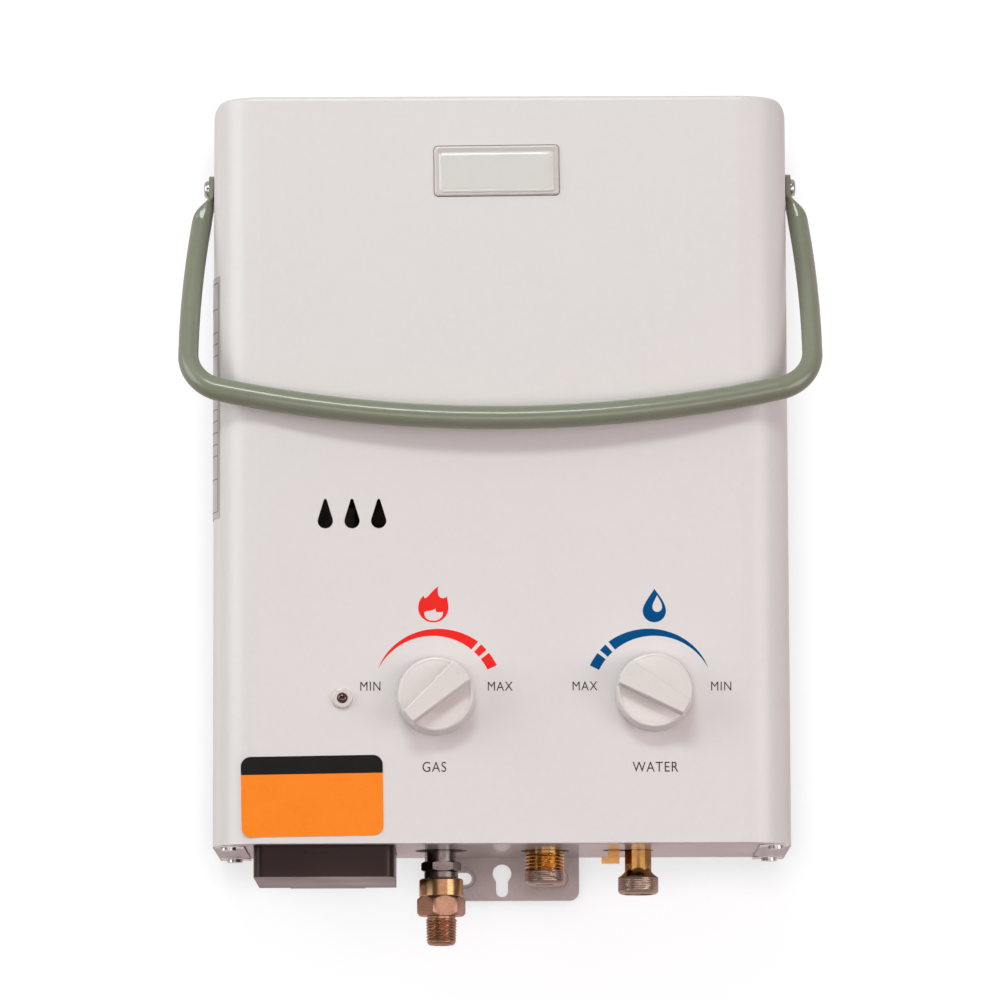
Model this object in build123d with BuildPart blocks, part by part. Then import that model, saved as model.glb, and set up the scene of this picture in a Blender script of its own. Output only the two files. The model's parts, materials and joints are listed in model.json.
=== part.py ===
from build123d import *
import os
from math import asin, atan2, cos, degrees, hypot, radians, sin, sqrt

# Portable propane water heater, in millimetres.
# X runs across the front, +Z is up and the front faces -Y.
# Y = 0 is the rear face of the back plate, X = 0 the middle, Z = 0 the bottom edge of the cover.

os.makedirs("parts", exist_ok=True)

# ---------------------------------------------------------------- driving sizes
# Fits and gaps
seat_gap = 0.05             # between parts that only just touch on a curve
running_gap = 0.05          # radial, round a part that turns or slides in a bore
screw_gap = 0.1             # radial, round a screw shank
nest_gap = 0.2              # between one sheet-metal part and the next
panel_gap = 0.8             # between the cover and a knob
hole_gap = 2.0              # radial, between a loose panel hole and what passes through it

# Cover
cover_width = 295.0
cover_height = 384.6
casing_depth = 115.0
cover_sheet = 1.0
corner_radius = 25.0
top_bend = 2.5
roof_corner = 9.0
front_return = 9.0
side_return = 16.0
return_corner = 8.0

# Exhaust outlet in the roof
roof_opening_length = 160.0
roof_opening_depth = 60.0
roof_opening_corner = 6.0
guard_wire_radius = 1.2
guard_wire_count = 10
guard_overhang = 5.0
guard_rail_count = 3

# Flame viewing holes
teardrop_radius = 3.9
teardrop_tip = 0.8
teardrop_height = 15.2
teardrop_bottom = 160.7
teardrop_middle_x = -75.8
teardrop_pitch = 13.6
teardrop_count = 3

# Back plate and its hanging tab
plate_sheet = 1.2
plate_return = 14.0
plate_bottom = 3.0
tab_width = 80.8
tab_bottom = -21.6
tab_corner = 5.0
keyhole_z = -7.4
keyhole_radius = 4.9
slot_height = 6.3
keyhole_slot_end = -19.6
tab_slot_length = 17.0
tab_slot_spacing = 48.8
tab_slot_z = -9.9
hanging_hole_radius = 4.0
hanging_hole_spacing = 120.0
hanging_hole_z = 352.0

# Bottom plate
floor_sheet = 1.0
floor_gap = 0.3
cover_screw_x = 139.5
cover_screw_front = 20.0
cover_screw_rear = 14.0
cover_screw_radius = 2.0
cover_screw_head = 4.0
cover_screw_head_height = 2.0
cover_screw_length = 8.0

# Carrying handle
handle_pivot_y = -70.0
handle_pivot_z = 344.4
handle_tube = 6.0
arm_tube = 5.2
handle_side_gap = 6.9
handle_rest_gap = 0.2
handle_reach = 140.4
handle_bow = 600.0
handle_corner = 22.0
arm_bow = 640.0
arm_round_start = 21.0
arm_waist = 15.5
arm_waist_set_in = 6.4
arm_waist_size = (8.7, 12.6)
arm_waist_corner = 4.2
tab_length = 9.5
tab_end_radius = 7.0
tab_thickness = 2.5
tab_edge = 1.1
bush_flange_radius = 6.5
bush_flange = 0.9
bush_radius = 3.4
handle_screw_radius = 2.5
handle_screw_head = 4.6
handle_screw_dome = 2.4
handle_screw_edge = 1.9
handle_nut_flats = 8.0
handle_nut_height = 4.0

# Controls on the front
gas_control_x = -33.2
gas_control_z = 74.7
water_control_x = 77.6
water_control_z = 76.3
gas_pointer = 41.0
water_pointer = 150.0
knob_base_radius = 20.0
knob_taper = 7.0
knob_disc = 10.5
knob_edge = 1.0
grip_height = 8.0
grip_wide = 13.6
grip_narrow = 8.6
grip_edge = 0.9
pointer_radius = 1.2
pointer_reach = 15.0
pointer_depth = 0.6
stem_radius = 5.0
spindle_radius = 4.0
spindle_flat = 3.0
spindle_flat_length = 12.0
knob_bore_depth = 15.0
stem_seat_depth = 43.0

# Indicator lamp
lamp_x = -80.7
lamp_z = 73.8
bezel_radius = 5.25
bezel_height = 2.0
bezel_barrel = 4.0
bezel_depth = 7.0
bezel_edge = 1.0
lens_radius = 2.7
lens_proud = 1.0
lens_dome = 2.0

# Badge and labels
badge_width = 64.0
badge_height = 26.1
badge_thickness = 2.2
badge_corner = 2.0
badge_edge = 1.2
badge_x = -1.6
badge_z = 345.4
label_sheet = 0.3
front_label_width = 71.9
front_label_height = 40.9
front_label_corner = 5.0
front_label_x = -96.0
front_label_z = 24.05
side_label_bottom = 168.0
side_label_height = 125.0
side_label_rear = -48.0
side_label_wrap = 32.0

# Burner, combustion chamber, heat exchanger and hood
cell_side_rim = 9.0
cell_front_rim = 5.5
cell_sheet = 0.8
burner_bottom = 96.0
burner_height = 54.0
burner_depth = 62.0
burner_sheet = 1.0
burner_side_room = 2.0
burner_bar_count = 8
burner_bar_gap = 8.0
burner_bar_width = 8.0
venturi_radius = 3.0
venturi_z = 106.0
venturi_depth = 50.0
chamber_height = 112.0
exchanger_height = 44.0
fin_count = 24
fin_sheet = 0.6
fin_margin = 2.0
pipe_radius = 6.0
pipe_wall = 1.0
pipe_row_count = 4
pipe_row_pitch = 16.0
pipe_turn_out = 9.0
pipe_joint_out = 23.0
pipe_bend = 12.0
pipe_short_bend = 9.0
coil_low_z = 190.0
coil_high_z = 230.0
riser_x = -118.0
hood_top_length = 172.0
hood_top_depth = 76.0
bracket_width = 14.0
bracket_sheet = 1.5
bracket_foot = 16.0
bracket_spacing = 100.0
burner_bracket_z = 130.0
chamber_bracket_z = 244.0

# Gas manifold and injectors
manifold_gap = 3.5
manifold_size = 12.0
manifold_bottom = 100.0
injector_radius = 3.0
injector_length = 4.5
jet_radius = 0.6

# Valve shelf
shelf_z = 34.0
shelf_sheet = 1.6
shelf_left = -56.0
shelf_right = 104.0
shelf_front_room = 10.0
shelf_foot_bottom = 10.0
shelf_notch_left = 34.0
shelf_notch_right = 65.0

# Gas valve
gas_body_left = -56.0
gas_body_right = -11.0
gas_body_rear = -42.0
valve_top = 92.0
valve_edge = 2.0
push_y = -68.0
push_z = 52.0
push_radius = 3.0
push_guide = 7.0
seat_radius = 6.0
chamber_radius = 13.0
seat_x = -28.0
valve_disc_radius = 10.0
valve_disc_sheet = 3.0
valve_disc_tail = 5.0
cap_flange_radius = 16.0
cap_flange = 3.0
cap_plug = 4.0
spring_radius = 7.0
spring_wire = 0.8
spring_turns = 5
solenoid_x = -40.0
solenoid_z = 66.0
solenoid_radius = 9.0
solenoid_length = 16.0

# Water valve
water_body_left = 58.0
water_body_right = 104.0
housing_radius = 31.0
housing_flange = 7.0
housing_cover = 10.5
diaphragm_sheet = 1.5
diaphragm_room = 24.0
water_room_depth = 4.0
plate_room_depth = 6.5
rod_plate_radius = 20.0
rod_plate_sheet = 2.0
valve_screw_reach = 27.5
valve_screw_radius = 2.0
valve_screw_head = 3.5
valve_screw_head_height = 3.0
valve_screw_count = 4
valve_screw_depth = 5.0
switch_size = (12.0, 12.0, 18.0)
switch_z = 66.0
switch_edge = 1.0

# Ignition
igniter_left = -140.0
igniter_width = 45.0
igniter_depth = 25.8
igniter_bottom = 82.0
igniter_height = 60.0
igniter_edge = 2.0
electrode_z = 155.0
electrode_spacing = 24.0
electrode_radius = 2.5
electrode_collar = 4.0
electrode_collar_length = 2.0
electrode_front_room = 11.0
electrode_inside = 8.0
electrode_wire = 0.8
electrode_wire_length = 14.0
cutout_x = 30.0
cutout_radius = 8.0
cutout_length = 7.0
cutout_edge = 1.0
lead_radius = 1.5
fine_lead_radius = 1.2
lead_bend = 6.0
lead_front_room = 5.0
lead_rise = 18.0

# Battery compartment
box_left = -126.5
box_right = -55.0
box_front = -100.0
box_rear = -20.0
box_bottom = -15.8
box_top = 22.0
box_wall = 2.0
box_corner = 5.0
box_front_wall = 1.5
box_flange = 5.0
box_flange_sheet = 1.5
door_sheet = 1.8
door_rim_top = 0.4
door_rim_depth = 5.2
door_gap = 0.2
latch_width = 16.0
latch_x = -91.6
latch_height = 2.5
latch_proud = 1.0
latch_drop = 1.4
hinge_y = -17.6
hinge_z = -12.0
hinge_radius = 2.2
hinge_pin_radius = 1.0
hinge_ear = 8.0
cell_radius = 16.6
cell_length = 60.5
cell_tip_radius = 4.5
cell_tip = 1.2
cell_pitch = 33.8
contact_sheet = 1.0
contact_width = 14.0
contact_spring_radius = 5.0
contact_spring_tip = 3.5

# Gas inlet
gas_inlet_x = -31.4
inlet_y = -50.0
nipple_radius = 7.45
nipple_hex_top = -4.8
nipple_hex_bottom = -9.7
nipple_hex_flats = 18.0
nipple_collar_radius = 8.75
nipple_collar_bottom = -13.3
nipple_shank_radius = 7.5
nipple_bottom = -21.0
spigot_radius = 5.5
spigot_height = 6.0
gas_bore_radius = 4.0
swivel_radius = 11.4
swivel_top = -13.6
swivel_hex_top = -22.9
swivel_hex_flats = 22.0
swivel_bottom = -32.8
flare_height = 3.0
adapter_shank_radius = 6.0
adapter_neck_radius = 7.0
gas_thread_radius = 8.1
gas_thread_top = -34.4
gas_thread_bottom = -47.8
thread_chamfer = 1.0

# Water inlet and outlet
cold_x = 70.3
cold_stem_flats = 11.8
cold_collar_top = -12.1
cold_collar_bottom = -21.9
cold_cone = 2.0
half_inch_thread = 10.4775
water_bore_radius = 4.0
cold_spigot_radius = 5.0
filter_bore_radius = 7.5
filter_bore_depth = 8.0
filter_sheet = 0.5
filter_length = 12.0
filter_tip_radius = 2.6
hot_x = 22.1
hot_y = -47.0
hot_bottom = -16.5
hot_thread_top = -0.6
hot_neck_radius = 9.6
hot_flange_flats = 24.0
hot_flange_bottom = 24.0
hot_spigot_radius = 8.0
hot_spigot_height = 4.0
hot_run_y = -16.0
hot_run_z = 66.0
nut_flats = 18.0
nut_length = 10.0

# Drain lever
drain_x = 59.0
drain_stem_radius = 2.5
drain_stem_depth = 10.0
drain_boss_radius = 4.5
drain_boss_bottom = 24.0
drain_lever_width = 6.0
drain_lever_bottom = -5.8
drain_step_tops = (-2.5, 2.5, 7.0)
drain_step_lefts = (51.4, 55.0, 57.3)
drain_lever_right = 60.7

# ---------------------------------------------------------------- derived places
front_y = -casing_depth
half_width = cover_width / 2
roof_inside = cover_height - cover_sheet
burner_bar_pitch = burner_bar_width + burner_bar_gap
burner_width = burner_bar_count * burner_bar_pitch + 2 * burner_side_room
cell_width = burner_width + 2 * cell_side_rim
cell_depth = burner_depth + 2 * cell_front_rim
pipe_turn_x = cell_width / 2 + pipe_turn_out
pipe_joint_x = -cell_width / 2 - pipe_joint_out
cell_y = front_y / 2
cell_front = cell_y - cell_depth / 2
cell_rear = cell_y + cell_depth / 2
burner_top = burner_bottom + burner_height
chamber_top = burner_top + chamber_height
exchanger_top = chamber_top + exchanger_height
pipe_z = chamber_top + exchanger_height / 2
first_row_y = cell_y - pipe_row_pitch * (pipe_row_count - 1) / 2
last_row_y = cell_y + pipe_row_pitch * (pipe_row_count - 1) / 2
knob_back = front_y - panel_gap
spindle_end = knob_back - knob_bore_depth
wrap = pipe_radius + nest_gap
chamber_corner = pipe_bend - wrap
shelf_front = front_y + shelf_front_room
body_front = shelf_front
stem_rear = body_front + stem_seat_depth
manifold_y = cell_y - burner_depth / 2 - manifold_gap - manifold_size / 2
cover_screw_ys = (front_y + cover_screw_front, -cover_screw_rear)
housing_face = water_body_left - housing_flange
diaphragm_face = housing_face - diaphragm_sheet
cover_face = diaphragm_face - housing_cover
shelf_bottom = shelf_z - shelf_sheet
bush_outer = half_width + bush_flange
tab_inner = bush_outer + 2 * seat_gap
tab_outer = tab_inner + tab_thickness
screw_seat = tab_outer + 2 * screw_gap
housing_notch = (push_y - housing_radius - hole_gap, push_y + housing_radius + hole_gap)


# ---------------------------------------------------------------- shared shapes
def rod_x(x_low, x_high, y, z, radius, mode=Mode.ADD):
    """Round bar along X."""
    with BuildSketch(Plane.YZ.offset(x_low)) as section:
        with Locations((y, z)):
            Circle(radius)
    extrude(section.sketch, amount=x_high - x_low, mode=mode)


def rod_y(x, y_front, y_rear, z, radius, mode=Mode.ADD):
    """Round bar along Y."""
    with BuildSketch(Plane.XZ.offset(-y_rear)) as section:
        with Locations((x, z)):
            Circle(radius)
    extrude(section.sketch, amount=y_rear - y_front, mode=mode)


def rod_z(x, y, z_low, z_high, radius, mode=Mode.ADD):
    """Round bar along Z."""
    with BuildSketch(Plane.XY.offset(z_low)) as section:
        with Locations((x, y)):
            Circle(radius)
    extrude(section.sketch, amount=z_high - z_low, mode=mode)


def hex_x(x_low, x_high, y, z, flats, mode=Mode.ADD):
    """Hexagonal bar along X."""
    with BuildSketch(Plane.YZ.offset(x_low)) as section:
        with Locations((y, z)):
            RegularPolygon(flats / 2, 6, major_radius=False)
    extrude(section.sketch, amount=x_high - x_low, mode=mode)


def hex_z(x, y, z_low, z_high, flats, mode=Mode.ADD):
    """Hexagonal bar along Z."""
    with BuildSketch(Plane.XY.offset(z_low)) as section:
        with Locations((x, y)):
            RegularPolygon(flats / 2, 6, major_radius=False)
    extrude(section.sketch, amount=z_high - z_low, mode=mode)


def slab(x_span, y_span, z_span, mode=Mode.ADD):
    """Rectangular block between its low and high corners."""
    with BuildSketch(Plane.XY.offset(z_span[0])) as section:
        with Locations(((x_span[0] + x_span[1]) / 2, (y_span[0] + y_span[1]) / 2)):
            Rectangle(x_span[1] - x_span[0], y_span[1] - y_span[0])
    extrude(section.sketch, amount=z_span[1] - z_span[0], mode=mode)


def casing_plan(inset, front_inset, rear_inset, radius):
    """Plan outline of the casing with its two round front corners, drawn in the current sketch."""
    depth = casing_depth - front_inset - rear_inset
    with Locations((0, -rear_inset - depth / 2)):
        Rectangle(cover_width - 2 * inset, depth)
    fillet(vertices().sort_by(Axis.Y)[:2], radius)


def casing_face(inset, z_low, radius):
    """Front outline of the casing from a level up to the roof, its top corners rounded, on the rear face."""
    top = cover_height - inset
    with BuildSketch(Plane.XZ) as outline:
        with Locations((0, (z_low + top) / 2)):
            Rectangle(cover_width - 2 * inset, top - z_low)
        fillet(vertices().sort_by(Axis.Y)[-2:], radius)
    return outline.sketch


def run_pipe(points, bends, radius, wall):
    """Pipe or lead of one section along straight runs joined by round bends."""
    with BuildLine() as route:
        FilletPolyline(*points, radius=bends)
    path = route.wire()
    with BuildSketch(Plane(origin=path @ 0, z_dir=path % 0)) as section:
        Circle(radius)
        if wall < radius:
            Circle(radius - wall, mode=Mode.SUBTRACT)
    sweep(section.sketch, path=path)


def box_plan(inset, front):
    """Plan outline of the battery compartment, drawn in the current sketch."""
    width = box_right - box_left - 2 * inset
    depth = box_rear - front - 2 * inset
    with Locations(((box_left + box_right) / 2, (box_rear + front) / 2)):
        Rectangle(width, depth)


def on_bend(radius, angle):
    """Point at a radius and angle round the cover's front left corner, measured from the side."""
    bend_x = -half_width + corner_radius
    bend_y = front_y + corner_radius
    return (bend_x - radius * cos(angle), bend_y - radius * sin(angle))


# ---------------------------------------------------------------- cover
with BuildPart() as front_cover:
    with BuildSketch():
        casing_plan(0, 0, 0, corner_radius)
    extrude(amount=cover_height)
    roof = front_cover.faces().sort_by(Axis.Z)[-1]
    fillet(roof.edges().sort_by(Axis.Y)[:-1], top_bend)
    extrude(casing_face(0, 0, roof_corner), amount=casing_depth, mode=Mode.INTERSECT)
    with BuildSketch(Plane.XY.offset(cover_sheet)):
        casing_plan(cover_sheet, cover_sheet, 0, corner_radius - cover_sheet)
    room = extrude(amount=roof_inside - cover_sheet, mode=Mode.PRIVATE)
    room_face = casing_face(cover_sheet, cover_sheet, roof_corner - cover_sheet)
    add(room & extrude(room_face, amount=casing_depth, mode=Mode.PRIVATE), mode=Mode.SUBTRACT)
    # Underside, left open inside a narrow return.
    with BuildSketch():
        casing_plan(side_return, front_return, 0, return_corner)
    extrude(amount=cover_sheet, mode=Mode.SUBTRACT)
    with BuildSketch(Plane.XY.offset(roof_inside)):
        with Locations((0, cell_y)):
            RectangleRounded(roof_opening_length, roof_opening_depth, roof_opening_corner)
    extrude(amount=cover_sheet, mode=Mode.SUBTRACT)
    # Flame viewing holes.
    teardrop_span = teardrop_height - teardrop_radius - teardrop_tip
    for index in range(teardrop_count):
        teardrop_x = teardrop_middle_x + (index - (teardrop_count - 1) / 2) * teardrop_pitch
        with BuildSketch(Plane.XZ.offset(casing_depth - cover_sheet)):
            with Locations((teardrop_x, teardrop_bottom + teardrop_radius)):
                Circle(teardrop_radius)
            with Locations((teardrop_x, teardrop_bottom + teardrop_radius + teardrop_span)):
                Circle(teardrop_tip)
            make_hull()
        extrude(amount=cover_sheet, mode=Mode.SUBTRACT)
    # Holes for the lamp, the two spindles and the handle screws.
    front_inside = front_y + cover_sheet
    rod_y(lamp_x, front_y, front_inside, lamp_z, bezel_barrel + screw_gap, Mode.SUBTRACT)
    for spindle_x, spindle_z in ((gas_control_x, gas_control_z), (water_control_x, water_control_z)):
        rod_y(spindle_x, front_y, front_inside, spindle_z, spindle_radius + hole_gap, Mode.SUBTRACT)
    pivot_hole = handle_screw_radius + screw_gap
    rod_x(-half_width, half_width, handle_pivot_y, handle_pivot_z, pivot_hole, Mode.SUBTRACT)
    for side in (-1, 1):
        for screw_y in cover_screw_ys:
            hole = cover_screw_radius + screw_gap
            rod_z(side * cover_screw_x, screw_y, 0, cover_sheet, hole, Mode.SUBTRACT)
front_cover.part.label = "front_cover"
export_step(front_cover.part, "parts/front_cover.step")

# ---------------------------------------------------------------- back plate
plate_inset = cover_sheet + nest_gap
with BuildPart() as back_plate:
    extrude(casing_face(plate_inset, plate_bottom, roof_corner - plate_inset), amount=plate_return)
    fold_inset = plate_inset + plate_sheet
    fold_room = extrude(
        casing_face(fold_inset, plate_bottom, roof_corner - fold_inset), amount=plate_return, mode=Mode.PRIVATE
    )
    add(fold_room.moved(Location((0, -plate_sheet, 0))), mode=Mode.SUBTRACT)
    with BuildSketch(Plane.XZ):
        with Locations((0, (tab_bottom + plate_bottom) / 2)):
            Rectangle(tab_width, plate_bottom - tab_bottom)
        fillet(vertices().sort_by(Axis.Y)[:2], tab_corner)
    extrude(amount=plate_sheet)
    # Keyhole and two level slots in the tab, two plain holes near the top.
    with BuildSketch(Plane.XZ):
        with Locations((0, keyhole_z)):
            Circle(keyhole_radius)
        with Locations((0, keyhole_slot_end + slot_height / 2)):
            Circle(slot_height / 2)
        with Locations((0, (keyhole_z + keyhole_slot_end + slot_height / 2) / 2)):
            Rectangle(slot_height, keyhole_z - keyhole_slot_end - slot_height / 2)
        with Locations((0, tab_slot_z)):
            with GridLocations(tab_slot_spacing, 1, 2, 1):
                SlotOverall(tab_slot_length, slot_height)
        with Locations((0, hanging_hole_z)):
            with GridLocations(hanging_hole_spacing, 1, 2, 1):
                Circle(hanging_hole_radius)
    extrude(amount=plate_sheet, mode=Mode.SUBTRACT)
back_plate.part.label = "back_plate"
export_step(back_plate.part, "parts/back_plate.step")

# ---------------------------------------------------------------- bottom plate
floor_z = cover_sheet
floor_top = floor_z + floor_sheet
with BuildPart() as bottom_plate:
    with BuildSketch(Plane.XY.offset(floor_z)):
        inset = cover_sheet + floor_gap
        casing_plan(inset, inset, plate_sheet + floor_gap, corner_radius - inset)
    extrude(amount=floor_sheet)
    with BuildSketch(Plane.XY.offset(floor_z)):
        box_plan(-floor_gap, box_front + door_rim_depth + door_gap)
    extrude(amount=floor_sheet, mode=Mode.SUBTRACT)
    swivel_hole = swivel_radius + hole_gap
    rod_z(gas_inlet_x, inlet_y, floor_z, floor_top, swivel_hole, Mode.SUBTRACT)
    rod_z(hot_x, hot_y, floor_z, floor_top, half_inch_thread + hole_gap, Mode.SUBTRACT)
    rod_z(cold_x, inlet_y, floor_z, floor_top, cold_stem_flats / 2 + hole_gap, Mode.SUBTRACT)
    drain_swing = hypot(drain_x - drain_step_lefts[1], drain_lever_width / 2)
    rod_z(drain_x, inlet_y, floor_z, floor_top, drain_swing + hole_gap, Mode.SUBTRACT)
    for side in (-1, 1):
        for screw_y in cover_screw_ys:
            hole = cover_screw_radius + screw_gap
            rod_z(side * cover_screw_x, screw_y, floor_z, floor_top, hole, Mode.SUBTRACT)
bottom_plate.part.label = "bottom_plate"
export_step(bottom_plate.part, "parts/bottom_plate.step")

with BuildPart() as bottom_screws:
    for side in (-1, 1):
        for screw_y in cover_screw_ys:
            screw_x = side * cover_screw_x
            rod_z(screw_x, screw_y, -cover_screw_head_height, 0, cover_screw_head)
            rod_z(screw_x, screw_y, 0, cover_screw_length, cover_screw_radius)
bottom_screws.part.label = "bottom_screws"
export_step(bottom_screws.part, "parts/bottom_screws.step")

# ---------------------------------------------------------------- exhaust guard and hood
with BuildPart() as exhaust_grille:
    bar_z = roof_inside - seat_gap - guard_wire_radius
    rail_z = bar_z - 2 * guard_wire_radius - seat_gap
    bar_half = roof_opening_depth / 2 + guard_overhang
    rail_half = roof_opening_length / 2 + guard_overhang / 2
    bar_pitch = roof_opening_length / guard_wire_count
    rail_pitch = roof_opening_depth / guard_rail_count
    for index in range(guard_wire_count):
        bar_x = (index - (guard_wire_count - 1) / 2) * bar_pitch
        rod_y(bar_x, cell_y - bar_half, cell_y + bar_half, bar_z, guard_wire_radius)
    for index in range(guard_rail_count):
        rail_y = cell_y + (index - (guard_rail_count - 1) / 2) * rail_pitch
        rod_x(-rail_half, rail_half, rail_y, rail_z, guard_wire_radius)
exhaust_grille.part.label = "exhaust_grille"
export_step(exhaust_grille.part, "parts/exhaust_grille.step")

with BuildPart() as flue_hood:
    for wall, mode in ((0, Mode.ADD), (2 * cell_sheet, Mode.SUBTRACT)):
        with BuildSketch(Plane.XY.offset(exchanger_top)):
            with Locations((0, cell_y)):
                Rectangle(cell_width - wall, cell_depth - wall)
        with BuildSketch(Plane.XY.offset(roof_inside)):
            with Locations((0, cell_y)):
                Rectangle(hood_top_length - wall, hood_top_depth - wall)
        loft(mode=mode)
flue_hood.part.label = "flue_hood"
export_step(flue_hood.part, "parts/flue_hood.step")

# ---------------------------------------------------------------- heat exchanger
with BuildPart() as heat_exchanger:
    with BuildSketch(Plane.XY.offset(chamber_top)):
        with Locations((0, cell_y)):
            Rectangle(cell_width, cell_depth)
            Rectangle(cell_width - 2 * cell_sheet, cell_depth - 2 * cell_sheet, mode=Mode.SUBTRACT)
    extrude(amount=exchanger_height)
    with BuildSketch(Plane.XY.offset(chamber_top + fin_margin)):
        with Locations((0, cell_y)):
            with GridLocations(cell_width / (fin_count + 1), 1, fin_count, 1):
                Rectangle(fin_sheet, cell_depth - cell_sheet)
    extrude(amount=exchanger_height - 2 * fin_margin)
    with BuildSketch(Plane.YZ.offset(-cell_width / 2)):
        with Locations((cell_y, pipe_z)):
            with GridLocations(pipe_row_pitch, 1, pipe_row_count, 1):
                Circle(pipe_radius + seat_gap)
    extrude(amount=cell_width, mode=Mode.SUBTRACT)
heat_exchanger.part.label = "heat_exchanger"
export_step(heat_exchanger.part, "parts/heat_exchanger.step")

with BuildPart() as exchanger_tube:
    with BuildLine(Plane.XY.offset(pipe_z)) as serpentine:
        for row in range(pipe_row_count):
            row_y = first_row_y + row * pipe_row_pitch
            heading = 1 if row % 2 == 0 else -1
            row_start = pipe_joint_x if row == 0 else -heading * pipe_turn_x
            row_end = pipe_joint_x if row == pipe_row_count - 1 else heading * pipe_turn_x
            Line((row_start, row_y), (row_end, row_y))
            if row < pipe_row_count - 1:
                bulge_x = heading * (pipe_turn_x + pipe_row_pitch / 2)
                turn_end = (row_end, row_y + pipe_row_pitch)
                ThreePointArc((row_end, row_y), (bulge_x, row_y + pipe_row_pitch / 2), turn_end)
    with BuildSketch(Plane(origin=(pipe_joint_x, first_row_y, pipe_z), z_dir=(1, 0, 0))):
        Circle(pipe_radius)
        Circle(pipe_radius - pipe_wall, mode=Mode.SUBTRACT)
    sweep(path=serpentine.wire())
exchanger_tube.part.label = "exchanger_tube"
export_step(exchanger_tube.part, "parts/exchanger_tube.step")

# ---------------------------------------------------------------- combustion chamber
with BuildPart() as combustion_chamber:
    with BuildSketch(Plane.XY.offset(burner_top)):
        with Locations((0, cell_y)):
            RectangleRounded(cell_width, cell_depth, chamber_corner)
            inner_width = cell_width - 2 * cell_sheet
            inner_depth = cell_depth - 2 * cell_sheet
            RectangleRounded(inner_width, inner_depth, chamber_corner - cell_sheet, mode=Mode.SUBTRACT)
    extrude(amount=chamber_height)
    for side in (-1, 1):
        hole_x = side * electrode_spacing / 2
        wall_rear = cell_front + cell_sheet
        hole = electrode_radius + seat_gap
        rod_y(hole_x, cell_front, wall_rear, electrode_z, hole, Mode.SUBTRACT)
combustion_chamber.part.label = "combustion_chamber"
export_step(combustion_chamber.part, "parts/combustion_chamber.step")

wrap_x = cell_width / 2 + wrap
wrap_front = cell_front - wrap
wrap_rear = cell_rear + wrap
coil_start_x = water_body_right - pipe_bend
with BuildPart() as chamber_coil:
    coil_points = (
        (coil_start_x, cell_y, valve_top),
        (coil_start_x, cell_y, coil_low_z),
        (coil_start_x, wrap_front, coil_low_z),
        (-wrap_x, wrap_front, coil_low_z),
        (-wrap_x, wrap_rear, coil_low_z),
        (wrap_x, wrap_rear, coil_low_z),
        (wrap_x, wrap_rear, coil_high_z),
        (riser_x, wrap_rear, coil_high_z),
        (riser_x, wrap_rear, pipe_z),
        (riser_x, last_row_y, pipe_z),
        (pipe_joint_x, last_row_y, pipe_z),
    )
    coil_bends = [pipe_bend] * (len(coil_points) - 4) + [pipe_short_bend] * 2
    run_pipe(coil_points, coil_bends, pipe_radius, pipe_wall)
chamber_coil.part.label = "chamber_coil"
export_step(chamber_coil.part, "parts/chamber_coil.step")

# ---------------------------------------------------------------- burner
burner_front = cell_y - burner_depth / 2
burner_rear = cell_y + burner_depth / 2
with BuildPart() as burner_frame:
    with BuildSketch(Plane.XY.offset(burner_bottom)):
        with Locations((0, cell_y)):
            Rectangle(burner_width, burner_depth)
    extrude(amount=burner_height)
    with BuildSketch(Plane.XY.offset(burner_top - burner_sheet)):
        with Locations((0, cell_y)):
            Rectangle(cell_width, cell_depth)
    extrude(amount=burner_sheet)
    with BuildSketch(Plane.XY.offset(burner_bottom + burner_sheet)):
        with Locations((0, cell_y)):
            Rectangle(burner_width - 2 * burner_sheet, burner_depth - 2 * burner_sheet)
    extrude(amount=burner_height, mode=Mode.SUBTRACT)
    with BuildSketch(Plane.XZ.offset(-burner_front - burner_sheet)):
        with Locations((0, venturi_z)):
            with GridLocations(burner_bar_pitch, 1, burner_bar_count, 1):
                Circle(venturi_radius + hole_gap)
    extrude(amount=burner_sheet, mode=Mode.SUBTRACT)
    with BuildSketch(Plane.XY.offset(burner_bottom)):
        with Locations((0, cell_y)):
            with GridLocations(burner_bar_pitch, 1, burner_bar_count - 1, 1):
                SlotOverall(burner_depth - 2 * hole_gap - 2 * venturi_radius, hole_gap, rotation=90)
    extrude(amount=burner_sheet, mode=Mode.SUBTRACT)
burner_frame.part.label = "burner_frame"
export_step(burner_frame.part, "parts/burner_frame.step")

with BuildPart() as burner_bars:
    bar_bottom = burner_bottom + burner_sheet
    bar_length = burner_depth - 2 * burner_sheet - 2 * nest_gap
    with BuildSketch(Plane.XY.offset(bar_bottom)):
        with Locations((0, cell_y)):
            with GridLocations(burner_bar_pitch, 1, burner_bar_count, 1):
                Rectangle(burner_bar_width, bar_length)
    extrude(amount=burner_height - 2 * burner_sheet)
    for index in range(burner_bar_count):
        bar_x = (index - (burner_bar_count - 1) / 2) * burner_bar_pitch
        bar_front = cell_y - bar_length / 2
        rod_y(bar_x, bar_front, bar_front + venturi_depth, venturi_z, venturi_radius, Mode.SUBTRACT)
burner_bars.part.label = "burner_bars"
export_step(burner_bars.part, "parts/burner_bars.step")

with BuildPart() as gas_manifold:
    manifold_half = manifold_size / 2
    manifold_top = manifold_bottom + manifold_size
    manifold_span_y = (manifold_y - manifold_half, manifold_y + manifold_half)
    manifold_span_x = (-burner_width / 2, burner_width / 2)
    slab(manifold_span_x, manifold_span_y, (manifold_bottom, manifold_top))
    rod_z(gas_control_x, manifold_y, valve_top, manifold_bottom, manifold_half)
gas_manifold.part.label = "gas_manifold"
export_step(gas_manifold.part, "parts/gas_manifold.step")

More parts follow.
